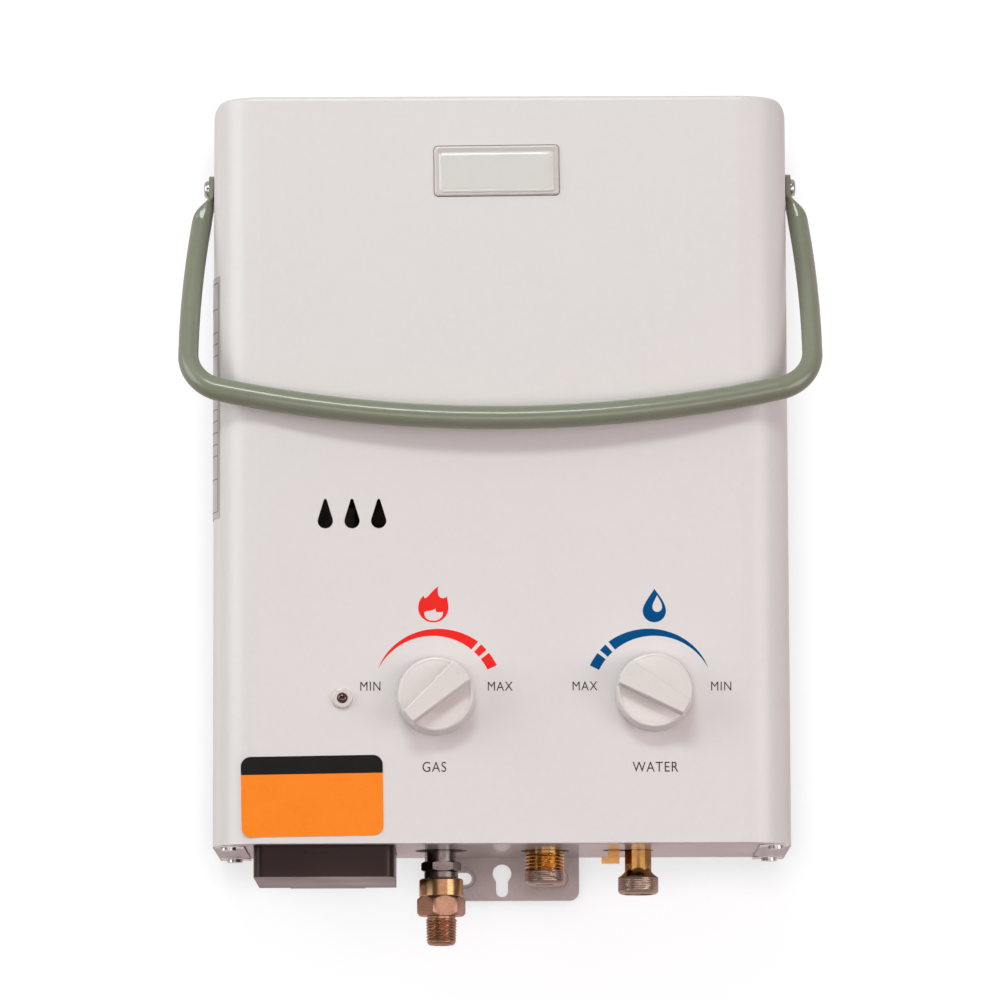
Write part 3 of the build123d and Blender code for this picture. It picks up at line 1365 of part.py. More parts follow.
# ---------------------------------------------------------------- water connections
filter_top = cold_collar_bottom + filter_bore_depth
with BuildPart() as cold_water_inlet:
    rod_z(cold_x, inlet_y, shelf_bottom, shelf_z + spigot_height, cold_spigot_radius)
    hex_z(cold_x, inlet_y, cold_collar_top + cold_cone, shelf_bottom, cold_stem_flats)
    rod_z(cold_x, inlet_y, cold_collar_bottom, cold_collar_top, half_inch_thread)
    chamfer(cold_water_inlet.faces().sort_by(Axis.Z)[0].edges(), thread_chamfer)
    with BuildSketch(Plane.XY.offset(cold_collar_top)) as cone_foot:
        with Locations((cold_x, inlet_y)):
            Circle(half_inch_thread - thread_chamfer)
    with BuildSketch(Plane.XY.offset(cold_collar_top + cold_cone)) as cone_top:
        with Locations((cold_x, inlet_y)):
            Circle(cold_stem_flats / 2)
    loft([cone_foot.sketch, cone_top.sketch])
    stem_top = shelf_z + spigot_height
    rod_z(cold_x, inlet_y, cold_collar_bottom, stem_top, water_bore_radius, Mode.SUBTRACT)
    rod_z(cold_x, inlet_y, cold_collar_bottom, filter_top, filter_bore_radius, Mode.SUBTRACT)
cold_water_inlet.part.label = "cold_water_inlet"
export_step(cold_water_inlet.part, "parts/cold_water_inlet.step")

with BuildPart() as inlet_filter:
    rim_low = filter_top - thread_chamfer
    rod_z(cold_x, inlet_y, rim_low, filter_top, filter_bore_radius - running_gap)
    rod_z(cold_x, inlet_y, filter_top, filter_top + filter_length, filter_tip_radius + filter_sheet)
    cup_top = filter_top + filter_length - filter_sheet
    rod_z(cold_x, inlet_y, rim_low, cup_top, filter_tip_radius, Mode.SUBTRACT)
inlet_filter.part.label = "inlet_filter"
export_step(inlet_filter.part, "parts/inlet_filter.step")

hot_pipe_end = shelf_z + hot_spigot_height
with BuildPart() as hot_water_outlet:
    rod_z(hot_x, hot_y, hot_bottom, hot_thread_top, half_inch_thread)
    chamfer(hot_water_outlet.faces().sort_by(Axis.Z)[0].edges(), thread_chamfer)
    rod_z(hot_x, hot_y, hot_thread_top, hot_flange_bottom, hot_neck_radius)
    hex_z(hot_x, hot_y, hot_flange_bottom, shelf_bottom, hot_flange_flats)
    rod_z(hot_x, hot_y, shelf_bottom, hot_pipe_end, hot_spigot_radius)
    rod_z(hot_x, hot_y, hot_bottom, hot_pipe_end, pipe_radius - pipe_wall, Mode.SUBTRACT)
hot_water_outlet.part.label = "hot_water_outlet"
export_step(hot_water_outlet.part, "parts/hot_water_outlet.step")

with BuildPart() as hot_pipe:
    hot_points = (
        (pipe_joint_x, first_row_y, pipe_z),
        (riser_x, first_row_y, pipe_z),
        (riser_x, first_row_y, hot_run_z),
        (riser_x, hot_run_y, hot_run_z),
        (hot_x, hot_run_y, hot_run_z),
        (hot_x, hot_y, hot_run_z),
        (hot_x, hot_y, hot_pipe_end),
    )
    hot_bends = [pipe_short_bend] + [pipe_bend] * (len(hot_points) - 3)
    run_pipe(hot_points, hot_bends, pipe_radius, pipe_wall)
hot_pipe.part.label = "hot_pipe"
export_step(hot_pipe.part, "parts/hot_pipe.step")

with BuildPart() as pipe_nuts:
    nut_hole = pipe_radius + running_gap
    for row_y in (first_row_y, last_row_y):
        nut_span = (pipe_joint_x - nut_length / 2, pipe_joint_x + nut_length / 2)
        hex_x(nut_span[0], nut_span[1], row_y, pipe_z, nut_flats)
        rod_x(nut_span[0], nut_span[1], row_y, pipe_z, nut_hole, Mode.SUBTRACT)
    upright_nuts = ((coil_start_x, cell_y, valve_top), (hot_x, hot_y, hot_pipe_end))
    for nut_x, nut_y, nut_bottom in upright_nuts:
        hex_z(nut_x, nut_y, nut_bottom, nut_bottom + nut_length, nut_flats)
        rod_z(nut_x, nut_y, nut_bottom, nut_bottom + nut_length, nut_hole, Mode.SUBTRACT)
pipe_nuts.part.label = "pipe_nuts"
export_step(pipe_nuts.part, "parts/pipe_nuts.step")

with BuildPart() as drain_lever:
    lever_span_y = (inlet_y - drain_lever_width / 2, inlet_y + drain_lever_width / 2)
    for step_left, step_top in zip(drain_step_lefts, drain_step_tops):
        slab((step_left, drain_lever_right), lever_span_y, (drain_lever_bottom, step_top))
    stem_foot = drain_step_tops[-1]
    rod_z(drain_x, inlet_y, stem_foot, drain_top, drain_stem_radius)
drain_lever.part.label = "drain_lever"
export_step(drain_lever.part, "parts/drain_lever.step")
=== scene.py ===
"""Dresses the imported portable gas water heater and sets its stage, lights and camera."""
import json
import logging
from dataclasses import dataclass, field
from enum import Enum
from math import atan2, ceil, cos, hypot, pi, radians, sin, tau
from typing import Any, Callable, Sequence

import bmesh
import bpy
from mathutils import Matrix, Vector


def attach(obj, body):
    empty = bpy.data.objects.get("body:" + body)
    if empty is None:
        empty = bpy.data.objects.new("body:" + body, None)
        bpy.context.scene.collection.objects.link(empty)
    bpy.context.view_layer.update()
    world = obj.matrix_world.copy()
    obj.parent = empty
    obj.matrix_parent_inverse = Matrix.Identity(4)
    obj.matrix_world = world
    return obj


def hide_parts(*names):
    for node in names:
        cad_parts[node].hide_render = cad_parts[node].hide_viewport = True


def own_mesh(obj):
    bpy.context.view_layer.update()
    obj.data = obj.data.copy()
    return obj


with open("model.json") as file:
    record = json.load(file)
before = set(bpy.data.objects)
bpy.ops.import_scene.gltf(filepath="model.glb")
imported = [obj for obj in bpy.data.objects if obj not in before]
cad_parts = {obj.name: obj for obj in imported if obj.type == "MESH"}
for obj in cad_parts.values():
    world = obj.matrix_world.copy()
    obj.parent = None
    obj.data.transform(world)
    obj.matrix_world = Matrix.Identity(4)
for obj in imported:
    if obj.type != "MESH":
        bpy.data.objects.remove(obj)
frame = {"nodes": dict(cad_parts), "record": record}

log = logging.getLogger("heater")

MM = 0.001
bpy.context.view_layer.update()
Point2 = tuple[float, float]
Point3 = tuple[float, float, float]

# Height of a capital against the font's size, and the room between letters.
CAPITAL_SHARE = 0.72
LETTER_SPACING = 1.12
# Length of a cubic handle that draws a quarter circle of radius 1.
CIRCLE_HANDLE = 0.56
# Values of the mixed patterns between which a finish goes from its first colour to its second.
COLOUR_BLEND = (0.12, 0.42)
# Values of the broad pattern between which the gloss changes, and the lowest roughness.
GLOSS_BLEND = (0.3, 0.7)
LEAST_ROUGHNESS = 0.02
# Edges sharper than this many degrees stay sharp, on turned parts, thin strips and clips,
# moulded grips, resin pads, and round wire and rims.
TURNED_EDGE, STRIP_EDGE, GRIP_EDGE, PAD_EDGE, WIRE_EDGE = 28.0, 40.0, 50.0, 60.0, 80.0


# ---------------------------------------------------------------- finishes
class Surface(Enum):
    """How a surface was made, which sets its pattern."""

    SPRAYED = "sprayed"
    MOULDED = "moulded"
    SPARKED = "sparked"
    ROLLED = "rolled"
    SPANGLED = "spangled"
    TURNED = "turned"
    CAST = "cast"
    PRINTED = "printed"


def linear(code: str) -> tuple[float, float, float, float]:
    """Turns an sRGB hex colour to linear light.

    Args:
        code: Six hex digits with a leading hash.

    Returns:
        Red, green, blue and alpha for a shader socket.
    """
    parts = [int(code[place:place + 2], 16) / 255 for place in (1, 3, 5)]
    red, green, blue = (p / 12.92 if p <= 0.04045 else ((p + 0.055) / 1.055) ** 2.4 for p in parts)
    return (red, green, blue, 1.0)


def put(tree: bpy.types.NodeTree, kind: str, inputs: dict[str, Any] | None = None,
        **settings: Any) -> bpy.types.Node:
    """Adds one shader node with its settings, values and links.

    Args:
        tree: Node tree that takes the node.
        kind: Blender's name for the node type.
        inputs: Socket name or number to a value, or to a socket to link from.
        settings: Attributes of the node itself.

    Returns:
        The node.
    """
    node = tree.nodes.new(kind)
    for name, value in settings.items():
        setattr(node, name, value)
    for name, value in (inputs or {}).items():
        socket = node.inputs[name]
        if isinstance(value, bpy.types.NodeSocket):
            tree.links.new(value, socket)
        else:
            socket.default_value = value
    return node


def fresh_tree(owner: bpy.types.Material | bpy.types.World) -> bpy.types.NodeTree:
    """Empties the node tree of a material or a world.

    Args:
        owner: The material or world.

    Returns:
        Its node tree, without nodes.
    """
    owner.use_nodes = True
    owner.node_tree.nodes.clear()
    return owner.node_tree


@dataclass(frozen=True)
class Finish:
    """A real material with its surface: two close colours, gloss and the relief of its making."""

    name: str
    surface: Surface
    colour: str
    second: str
    metallic: float = 0.0
    roughness: float = 0.4
    spread: float = 0.06
    grain_mm: float = 1.0
    relief_mm: float = 0.01
    blotch_mm: float = 40.0
    stretch: Point3 = (1.0, 1.0, 1.0)
    coat: float = 0.0
    coat_roughness: float = 0.05
    ior: float = 1.5
    gleam: float = 0.5
    gleam_tint: str = "#FFFFFF"

    def material(self) -> bpy.types.Material:
        """Builds the node material, unless it was built before.

        Returns:
            The material.
        """
        made = bpy.data.materials.get(self.name)
        if made is not None:
            return made
        made = bpy.data.materials.new(self.name)
        tree = fresh_tree(made)
        place = put(tree, "ShaderNodeTexCoord").outputs["Object"]
        drawn = put(tree, "ShaderNodeMapping", {"Vector": place, "Scale": self.stretch})
        grain = self._grain(tree, drawn.outputs["Vector"])
        blotch = put(tree, "ShaderNodeTexNoise",
                     {"Vector": place, "Scale": 1000 / self.blotch_mm, "Detail": 3.0})
        both = put(tree, "ShaderNodeMath", {0: grain, 1: blotch.outputs["Fac"]},
                   operation="MULTIPLY")
        amount = put(tree, "ShaderNodeMapRange", {
            "Value": both.outputs[0], "From Min": COLOUR_BLEND[0], "From Max": COLOUR_BLEND[1]})
        colour = put(tree, "ShaderNodeMix", {
            "Factor": amount.outputs[0], 6: linear(self.colour), 7: linear(self.second)},
            data_type="RGBA")
        gloss = put(tree, "ShaderNodeMapRange", {
            "Value": blotch.outputs["Fac"], "From Min": GLOSS_BLEND[0], "From Max": GLOSS_BLEND[1],
            "To Min": max(self.roughness - self.spread, LEAST_ROUGHNESS),
            "To Max": self.roughness + self.spread})
        bump = put(tree, "ShaderNodeBump",
                   {"Height": grain, "Distance": self.relief_mm * MM, "Strength": 1.0})
        shading: dict[str, Any] = {"Base Color": colour.outputs[2], "Roughness": gloss.outputs[0],
                                   "Normal": bump.outputs[0], "Metallic": self.metallic}
        if not self.metallic:
            shading |= {"IOR": self.ior, "Specular IOR Level": self.gleam,
                        "Specular Tint": linear(self.gleam_tint)}
        if self.coat:
            shading |= {"Coat Weight": self.coat, "Coat Roughness": self.coat_roughness}
        body = put(tree, "ShaderNodeBsdfPrincipled", shading)
        put(tree, "ShaderNodeOutputMaterial", {"Surface": body.outputs[0]})
        return made

    def _grain(self, tree: bpy.types.NodeTree,
               place: bpy.types.NodeSocket) -> bpy.types.NodeSocket:
        """Adds the pattern that the way of making leaves.

        Args:
            tree: Node tree of the material.
            place: Socket with the place on the surface, in metres.

        Returns:
            Socket with the pattern's height, 0 to 1.
        """
        scale = 1000 / self.grain_mm
        if self.surface is Surface.SPANGLED:
            cells = put(tree, "ShaderNodeTexVoronoi", {"Vector": place, "Scale": scale})
            split = put(tree, "ShaderNodeSeparateColor", {"Color": cells.outputs["Color"]})
            return split.outputs[0]
        is_even = self.surface in (Surface.SPRAYED, Surface.MOULDED, Surface.PRINTED)
        noise = put(tree, "ShaderNodeTexNoise",
                    {"Vector": place, "Scale": scale, "Detail": 1.0 if is_even else 5.0,
                     "Roughness": 0.6})
        return noise.outputs["Fac"]


# Powder coat, sprayed and stoved: a smooth gloss with a faint orange peel.
COVER_POWDER_COAT = Finish("enamel_powder_coated_white", Surface.SPRAYED, "#DFDAD9", "#DDD8D7",
                           roughness=0.4, spread=0.02, grain_mm=3.0, relief_mm=0.003, coat=0.4,
                           coat_roughness=0.28)
# The same coat, thinner, on plates that are seldom seen: satin and greyer.
PLATE_POWDER_COAT = Finish("enamel_powder_coated_plate", Surface.SPRAYED, "#DACFCB", "#D3C8C4",
                           roughness=0.4, grain_mm=2.0, relief_mm=0.006, coat=0.4)
# Zinc plated steel fasteners: bright, with the tool marks under the plating.
ZINC_PLATED_STEEL = Finish("steel_zinc_plated", Surface.TURNED, "#C9C9C6", "#AFAFAC", metallic=1.0,
                           roughness=0.24, grain_mm=0.5, relief_mm=0.01, blotch_mm=5)
# Galvanised sheet: grey crystals of zinc a few millimetres wide.
GALVANISED_SHEET = Finish("steel_galvanised_sheet", Surface.SPANGLED, "#A4A7A8", "#8E9293",
                          metallic=1.0, roughness=0.38, grain_mm=6, relief_mm=0.004)
# Drawn stainless wire and strip: fine lines along the drawing direction.
STAINLESS_DRAWN = Finish("steel_stainless_drawn", Surface.ROLLED, "#BDBAB5", "#A29F9A",
                         metallic=1.0, roughness=0.27, grain_mm=0.8, relief_mm=0.01,
                         stretch=(1, 0.05, 1))
# Copper tube and sheet, drawn and brazed: warm, with brown heat tint.
COPPER_DRAWN = Finish("copper_drawn", Surface.ROLLED, "#A8684A", "#6E3F2B", metallic=1.0,
                      roughness=0.32, grain_mm=1.5, relief_mm=0.01, blotch_mm=25,
                      stretch=(0.1, 1, 1))
# Copper that has been fired: dark oxide with a dull brown sheen.
COPPER_FIRED = Finish("copper_fired_oxide", Surface.ROLLED, "#3A2A24", "#241A17", metallic=0.6,
                      roughness=0.55, grain_mm=1.5, relief_mm=0.01, blotch_mm=25)
# Die-cast aluminium: dull and grainy.
ALUMINIUM_CAST = Finish("aluminium_die_cast", Surface.CAST, "#B0B2B4", "#97999C", metallic=1.0,
                        roughness=0.46, grain_mm=0.9, relief_mm=0.04)
# Yellow brass turned on a lathe: bright bands along the axis, fine rings round it.
BRASS_TURNED = Finish("brass_turned", Surface.TURNED, "#C49A5C", "#B0854A", metallic=1.0,
                      roughness=0.2, spread=0.04, grain_mm=0.7, relief_mm=0.003, blotch_mm=9,
                      stretch=(0.15, 0.15, 1))
# Hot-stamped brass: pinkish and duller than turned brass, with a pickled skin.
BRASS_STAMPED = Finish("brass_hot_stamped", Surface.CAST, "#B89178", "#957059", metallic=1.0,
                       roughness=0.3, grain_mm=0.8, relief_mm=0.015, blotch_mm=7)
# The same brass after pickling in acid: pale and less yellow, still bright.
BRASS_PICKLED = Finish("brass_turned_pickled", Surface.TURNED, "#C09A74", "#A07A52", metallic=1.0,
                       roughness=0.22, spread=0.04, grain_mm=0.7, relief_mm=0.003, blotch_mm=9,
                       stretch=(0.15, 0.15, 1))
# Brass on the fittings' lower ends: paler, pinkish and duller than the turned brass above.
BRASS_DULLED = Finish("brass_turned_dulled", Surface.TURNED, "#BEA698", "#9A8577", metallic=1.0,
                      roughness=0.32, grain_mm=0.8, relief_mm=0.008, blotch_mm=7,
                      stretch=(0.3, 0.3, 1))
# Grey passivated zinc plate on steel.
ZINC_GREY = Finish("steel_zinc_passivated_grey", Surface.TURNED, "#8E8784", "#6C6562",
                   metallic=1.0, roughness=0.26, grain_mm=0.6, relief_mm=0.012, blotch_mm=6)
# Stoved enamel on tube: sage green, glossy, slightly uneven over the bends.
HANDLE_ENAMEL = Finish("enamel_stoved_sage_green", Surface.SPRAYED, "#7D816D", "#797D69",
                       roughness=0.36, spread=0.02, grain_mm=3.0, relief_mm=0.004, coat=0.55,
                       coat_roughness=0.09)
# Nylon bush, moulded: black with a soft sheen.
NYLON_MOULDED = Finish("nylon_moulded_black", Surface.MOULDED, "#3A3A3A", "#303030", roughness=0.5,
                       grain_mm=0.6, relief_mm=0.01)
# Natural nylon washer: milky white.
WASHER_NYLON = Finish("nylon_turned_natural", Surface.TURNED, "#E9E4DF", "#DFDAD4", roughness=0.35,
                      grain_mm=0.5, relief_mm=0.004)
# ABS knob, moulded in a polished tool: glossy off-white.
KNOB_ABS = Finish("abs_moulded_off_white", Surface.MOULDED, "#E0D9D6", "#DDD6D3", roughness=0.3,
                  spread=0.03, grain_mm=4.0, relief_mm=0.002, coat=0.7, coat_roughness=0.06)
# Enamelled badge, printed film under a clear dome.
BADGE_ENAMEL = Finish("enamel_domed_badge", Surface.PRINTED, "#DAD7D3", "#D8D5D1", roughness=0.3,
                      spread=0.0, grain_mm=5.0, relief_mm=0.0005, coat=0.9, coat_roughness=0.1)
# The badge's frame, a shade darker than the window, under the same resin.
BADGE_FRAME = Finish("enamel_badge_frame", Surface.PRINTED, "#D0C8C5", "#CCC4C1", roughness=0.35,
                     grain_mm=5.0, relief_mm=0.001, coat=0.7, coat_roughness=0.1)
# Painted shade along the frame's top: a darker band laid on the frame where the dome's upper
# curved edge looks darker.
BADGE_SHADE = Finish("enamel_badge_shade", Surface.PRINTED, "#C3B9B6", "#BFB5B2", roughness=0.4,
                     grain_mm=5.0, relief_mm=0.001)
# Dark adhesive foam round the badge; its dark colour is a painted shadow for the gap under the
# badge's edge.
BADGE_EDGE = Finish("foam_die_cut_dark", Surface.MOULDED, "#6B5F5D", "#5F5452", roughness=0.7,
                    grain_mm=0.6, relief_mm=0.01)
# ABS lamp surround, moulded: a warmer white than the cover, with a soft gloss.
LAMP_ABS = Finish("abs_moulded_white", Surface.MOULDED, "#DCD3CB", "#D6CDC5", roughness=0.3,
                  grain_mm=2.0, relief_mm=0.005, coat=0.5)
# Clear red acrylic lens over a dark housing.
LENS_ACRYLIC = Finish("acrylic_moulded_red", Surface.MOULDED, "#4A0A0A", "#2C0505", roughness=0.07,
                      grain_mm=1.5, relief_mm=0.003, coat=1.0, coat_roughness=0.02, ior=1.49)
# ABS battery compartment with a fine spark-eroded texture, drawn coarser so that it shows.
BOX_ABS = Finish("abs_spark_textured_brown_black", Surface.SPARKED, "#281D15", "#201610",
                 roughness=0.36, gleam=0.3, gleam_tint="#EBD2D4", grain_mm=0.5, relief_mm=0.02,
                 coat=0.15, coat_roughness=0.2)
# Module housings, moulded glass-filled nylon: near black, dull and slightly rough.
MODULE_NYLON = Finish("nylon_moulded_module", Surface.SPARKED, "#24242A", "#1C1C20", roughness=0.5,
                      grain_mm=0.7, relief_mm=0.02)
# Printed polyester film: even orange with a slight sheen.
FILM_ORANGE = Finish("film_printed_orange", Surface.PRINTED, "#FF8A1C", "#FA8418", roughness=0.5,
                     gleam=0.2, grain_mm=0.7, relief_mm=0.004, blotch_mm=12)
# The same film's dark band, printed nearly black.
FILM_DARK = Finish("film_printed_dark", Surface.PRINTED, "#0E0A09", "#0B0807", roughness=0.55,
                   gleam=0.2, grain_mm=0.7, relief_mm=0.004, blotch_mm=12)
# Silver foil label, rolled: pale grey with fine upright lines.
FILM_SILVER = Finish("film_foil_silver", Surface.ROLLED, "#C2C1C2", "#B4B3B6", roughness=0.33,
                     metallic=0.2, grain_mm=0.8, relief_mm=0.004, stretch=(1, 1, 0.05))
# Ink of the ruled lines on the foil label: a flat mid grey.
FILM_INK = Finish("ink_printed_grey", Surface.PRINTED, "#6E6D70", "#626164", roughness=0.5,
                  grain_mm=0.6, relief_mm=0.002)
# Screen-printed inks, fired on the enamel: flat colour with a faint grain.
INK_RED = Finish("ink_screen_printed_red", Surface.PRINTED, "#F02A24", "#E92420", roughness=0.6,
                 gleam=0.1, grain_mm=0.5, relief_mm=0.003)
INK_BLUE = Finish("ink_screen_printed_blue", Surface.PRINTED, "#004F88", "#00497E", roughness=0.6,
                  gleam=0.05, grain_mm=0.5, relief_mm=0.003)
INK_DARK = Finish("ink_screen_printed_dark", Surface.PRINTED, "#2A2424", "#241E1E", roughness=0.5,
                  grain_mm=0.5, relief_mm=0.003)
# Nitrile rubber, moulded: black and matt.
NITRILE = Finish("rubber_nitrile_moulded", Surface.MOULDED, "#1D1D1D", "#141414", roughness=0.62,
                 grain_mm=0.8, relief_mm=0.02)
# Silicone sleeve on leads, extruded: black with a dull sheen.
SILICONE_SLEEVE = Finish("silicone_extruded_black", Surface.MOULDED, "#242222", "#1C1A1A",
                         roughness=0.5, grain_mm=0.9, relief_mm=0.01)
# Glazed alumina: cream white and glassy.
ALUMINA = Finish("alumina_glazed", Surface.CAST, "#E8E4D8", "#DED8C8", roughness=0.18,
                 grain_mm=1.4, relief_mm=0.01, coat=0.5)
# Lacquered steel jacket of a battery: dark green with a metal gleam.
CELL_JACKET = Finish("steel_lacquered_jacket", Surface.PRINTED, "#2B4A4E", "#244145", metallic=0.4,
                     roughness=0.3, grain_mm=2.0, relief_mm=0.004)

# Finish of each slot in the record.
SLOT_FINISHES: dict[str, Finish] = {
    "white_enamel": COVER_POWDER_COAT, "plate_enamel": PLATE_POWDER_COAT,
    "zinc_steel": ZINC_PLATED_STEEL, "galvanised": GALVANISED_SHEET, "stainless": STAINLESS_DRAWN,
    "copper": COPPER_DRAWN, "cast_aluminium": ALUMINIUM_CAST, "yellow_brass": BRASS_TURNED,
    "forged_brass": BRASS_STAMPED, "grey_zinc": ZINC_GREY, "handle_enamel": HANDLE_ENAMEL,
    "handle_polymer": NYLON_MOULDED, "knob_white": KNOB_ABS, "badge_face": BADGE_ENAMEL,
    "lamp_white": LAMP_ABS, "lamp_red": LENS_ACRYLIC, "box_black": BOX_ABS,
    "module_black": MODULE_NYLON, "orange_label": FILM_ORANGE, "silver_label": FILM_SILVER,
    "rubber_black": NITRILE, "lead_sleeve": SILICONE_SLEEVE, "ceramic": ALUMINA,
    "cell_jacket": CELL_JACKET,
}
# Nodes whose own finish departs from their slot's.
NODE_FINISHES: dict[str, Finish] = {
    "combustion_chamber": COPPER_FIRED, "drain_lever": BRASS_TURNED, "burner_bars": COPPER_FIRED,
}


# ---------------------------------------------------------------- shared making
def add_object(name: str, data: bpy.types.ID) -> bpy.types.Object:
    """Makes an object and links it to the scene.

    Args:
        name: Name of the object.
        data: Its mesh, curve, light or camera.

    Returns:
        The object.
    """
    made = bpy.data.objects.new(name, data)
    bpy.context.scene.collection.objects.link(made)
    return made


def piece(mesh: bpy.types.Mesh, finish: Finish, slot: str, body: str = "heater",
          replaces: Sequence[str] = ()) -> bpy.types.Object:
    """Makes a dressed object, named as its mesh, that rides on a body of the frame.

    Args:
        mesh: Its mesh, in the heater's own place.
        finish: What it is made of.
        slot: Record slot that its finish belongs to; not used.
        body: Body that carries it.
        replaces: Nodes that it stands for.

    Returns:
        The object.
    """
    made = add_object(mesh.name, mesh)
    mesh.materials.clear()
    mesh.materials.append(finish.material())
    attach(made, body)
    if replaces:
        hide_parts(*replaces)
    log.info("piece %s on %s, %s, %d faces", made.name, body, finish.name, len(mesh.polygons))
    return made


def smooth(mesh: bpy.types.Mesh, angle: float) -> bpy.types.Mesh:
    """Shades a mesh smooth and keeps its sharp edges.

    Args:
        mesh: The mesh, changed in place.
        angle: Edges sharper than this many degrees stay sharp.

    Returns:
        The same mesh.
    """
    mesh.polygons.foreach_set("use_smooth", [True] * len(mesh.polygons))
    mesh.set_sharp_from_angle(angle=radians(angle))
    return mesh


def from_faces(name: str, points: Sequence[Point3],
               faces: Sequence[Sequence[int]]) -> bpy.types.Mesh:
    """Builds a closed mesh and turns its faces outward.

    Args:
        name: Name of the mesh.
        points: Corners in millimetres.
        faces: Places of each face's corners in that list.

    Returns:
        The mesh.
    """
    mesh = bpy.data.meshes.new(name)
    mesh.from_pydata([tuple(c * MM for c in p) for p in points], [], faces)
    mesh.validate()
    mesh.update()
    work = bmesh.new()
    work.from_mesh(mesh)
    bmesh.ops.recalc_face_normals(work, faces=work.faces)
    work.to_mesh(mesh)
    work.free()
    return mesh


def shell(name: str, rings: Sequence[Sequence[Point3]], angle: float,
          is_looped: bool = False) -> bpy.types.Mesh:
    """Builds a closed mesh from rings of equal count.

    Args:
        name: Name of the mesh.
        rings: Loops of points in millimetres, in order.
        angle: Edges sharper than this many degrees stay sharp.
        is_looped: True where the last ring joins the first; else both ends are capped.

    Returns:
        The mesh.
    """
    count, total = len(rings[0]), len(rings)
    points = [point for ring in rings for point in ring]
    faces: list[tuple[int, ...]] = []
    if not is_looped:
        faces += [tuple(range(count)), tuple(reversed(range((total - 1) * count, total * count)))]
    for row in range(total if is_looped else total - 1):
        here, there = row * count, (row + 1) % total * count
        for side in range(count):
            ahead = (side + 1) % count
            faces.append((here + side, here + ahead, there + ahead, there + side))
    return smooth(from_faces(name, points, faces), angle)


def flat_print(name: str, loops: Sequence[Sequence[Point2]], depth: float,
               front_y: float) -> bpy.types.Mesh:
    """Builds a thin closed print from outlines on the front, holes included.

    Args:
        name: Name of the mesh.
        loops: Closed outlines in X and Z, in millimetres; one inside another cuts a hole.
        depth: Thickness in millimetres.
        front_y: Y of the surface that carries it, in millimetres.

    Returns:
        The mesh, facing -Y.
    """
    curve = bpy.data.curves.new(name, "CURVE")
    curve.dimensions = "2D"
    curve.fill_mode = "BOTH"
    curve.extrude = depth * MM / 2
    for loop in loops:
        spline = curve.splines.new("POLY")
        spline.points.add(len(loop) - 1)
        for point, (x, z) in zip(spline.points, loop):
            point.co = (x * MM, z * MM, 0.0, 1.0)
        spline.use_cyclic_u = True
    return stand_up(name, curve, depth, front_y)


def stand_up(name: str, curve: bpy.types.Curve, depth: float, front_y: float) -> bpy.types.Mesh:
    """Turns a flat curve or words into a mesh that stands on the front.

    Args:
        name: Name of the mesh.
        curve: The curve or the words, lying flat.
        depth: Thickness in millimetres.
        front_y: Y of the surface that carries it, in millimetres.

    Returns:
        The mesh, facing -Y.
    """
    holder = add_object(name, curve)
    bpy.context.view_layer.update()
    shaped = holder.evaluated_get(bpy.context.evaluated_depsgraph_get())
    mesh = bpy.data.meshes.new_from_object(shaped)
    bpy.data.objects.remove(holder)
    mesh.name = name
    mesh.transform(Matrix.Rotation(radians(90), 4, "X"))
    mesh.transform(Matrix.Translation((0, (front_y - depth / 2) * MM, 0)))
    return mesh


def words(name: str, letters: str, height: float, centre: Point2, depth: float, front_y: float,
          stretch: float) -> bpy.types.Mesh:
    """Builds generic control lettering as a thin print.

    Args:
        name: Name of the mesh.
        letters: What it says.
        height: Height of a capital in millimetres.
        centre: Middle of the word in X and Z.
        depth: Thickness in millimetres.
        front_y: Y of the surface that carries it.
        stretch: Width of the letters against the plain face.

    Returns:
        The mesh.
    """
    font = bpy.data.curves.new(name, "FONT")
    font.body = letters
    font.size = height * MM / CAPITAL_SHARE
    font.extrude = depth * MM / 2
    font.align_x = "CENTER"
    font.space_character = LETTER_SPACING
    mesh = stand_up(name, font, depth, front_y)
    mesh.transform(Matrix.Diagonal((stretch, 1, 1, 1)))
    across, up = ([v.co[axis] for v in mesh.vertices] for axis in (0, 2))
    mesh.transform(Matrix.Translation((centre[0] * MM - (min(across) + max(across)) / 2, 0,
                                       centre[1] * MM - (min(up) + max(up)) / 2)))
    return mesh


def rounded(width: float, height: float, radius: float, steps: int) -> list[Point2]:
    """Outline of a rounded rectangle about the origin.

    Args:
        width: Its size along X.
        height: Its size along Z.
        radius: Radius of its corners.
        steps: Points for each corner.

    Returns:
        The outline's points.
    """
    points: list[Point2] = []
    for turn, (sx, sz) in enumerate(((1, 1), (-1, 1), (-1, -1), (1, -1))):
        for step in range(steps + 1):
            angle = radians(90 * turn + 90 * step / steps)
            points.append((sx * (width / 2 - radius) + radius * cos(angle),
                           sz * (height / 2 - radius) + radius * sin(angle)))
    return points


def placed(loop: Sequence[Point2], centre: Point2, turn: float = 0.0) -> list[Point2]:
    """Turns an outline by degrees and moves it to a centre."""
    c, s = cos(radians(turn)), sin(radians(turn))
    return [(centre[0] + x * c - z * s, centre[1] + x * s + z * c) for x, z in loop]


def bezier(corners: Sequence[tuple[Point2, Point2, Point2]], steps: int = 10) -> list[Point2]:
    """Samples a closed outline of cubic curves.

    Args:
        corners: Each point with its incoming and outgoing handle: (handle in, point, handle out).
        steps: Points for each curve.

    Returns:
        The outline's points.
    """
    points: list[Point2] = []
    for place, (_, start, leave) in enumerate(corners):
        arrive, end, _ = corners[(place + 1) % len(corners)]
        for step in range(steps):
            t = step / steps
            u = 1 - t
            points.append(tuple(u**3 * a + 3 * u * u * t * b + 3 * u * t * t * c + t**3 * d
                                for a, b, c, d in zip(start, leave, arrive, end)))
    return points


class Section(Enum):
    """Cross-section of a turned or milled length."""

    ROUND = 0
    HEX = 6


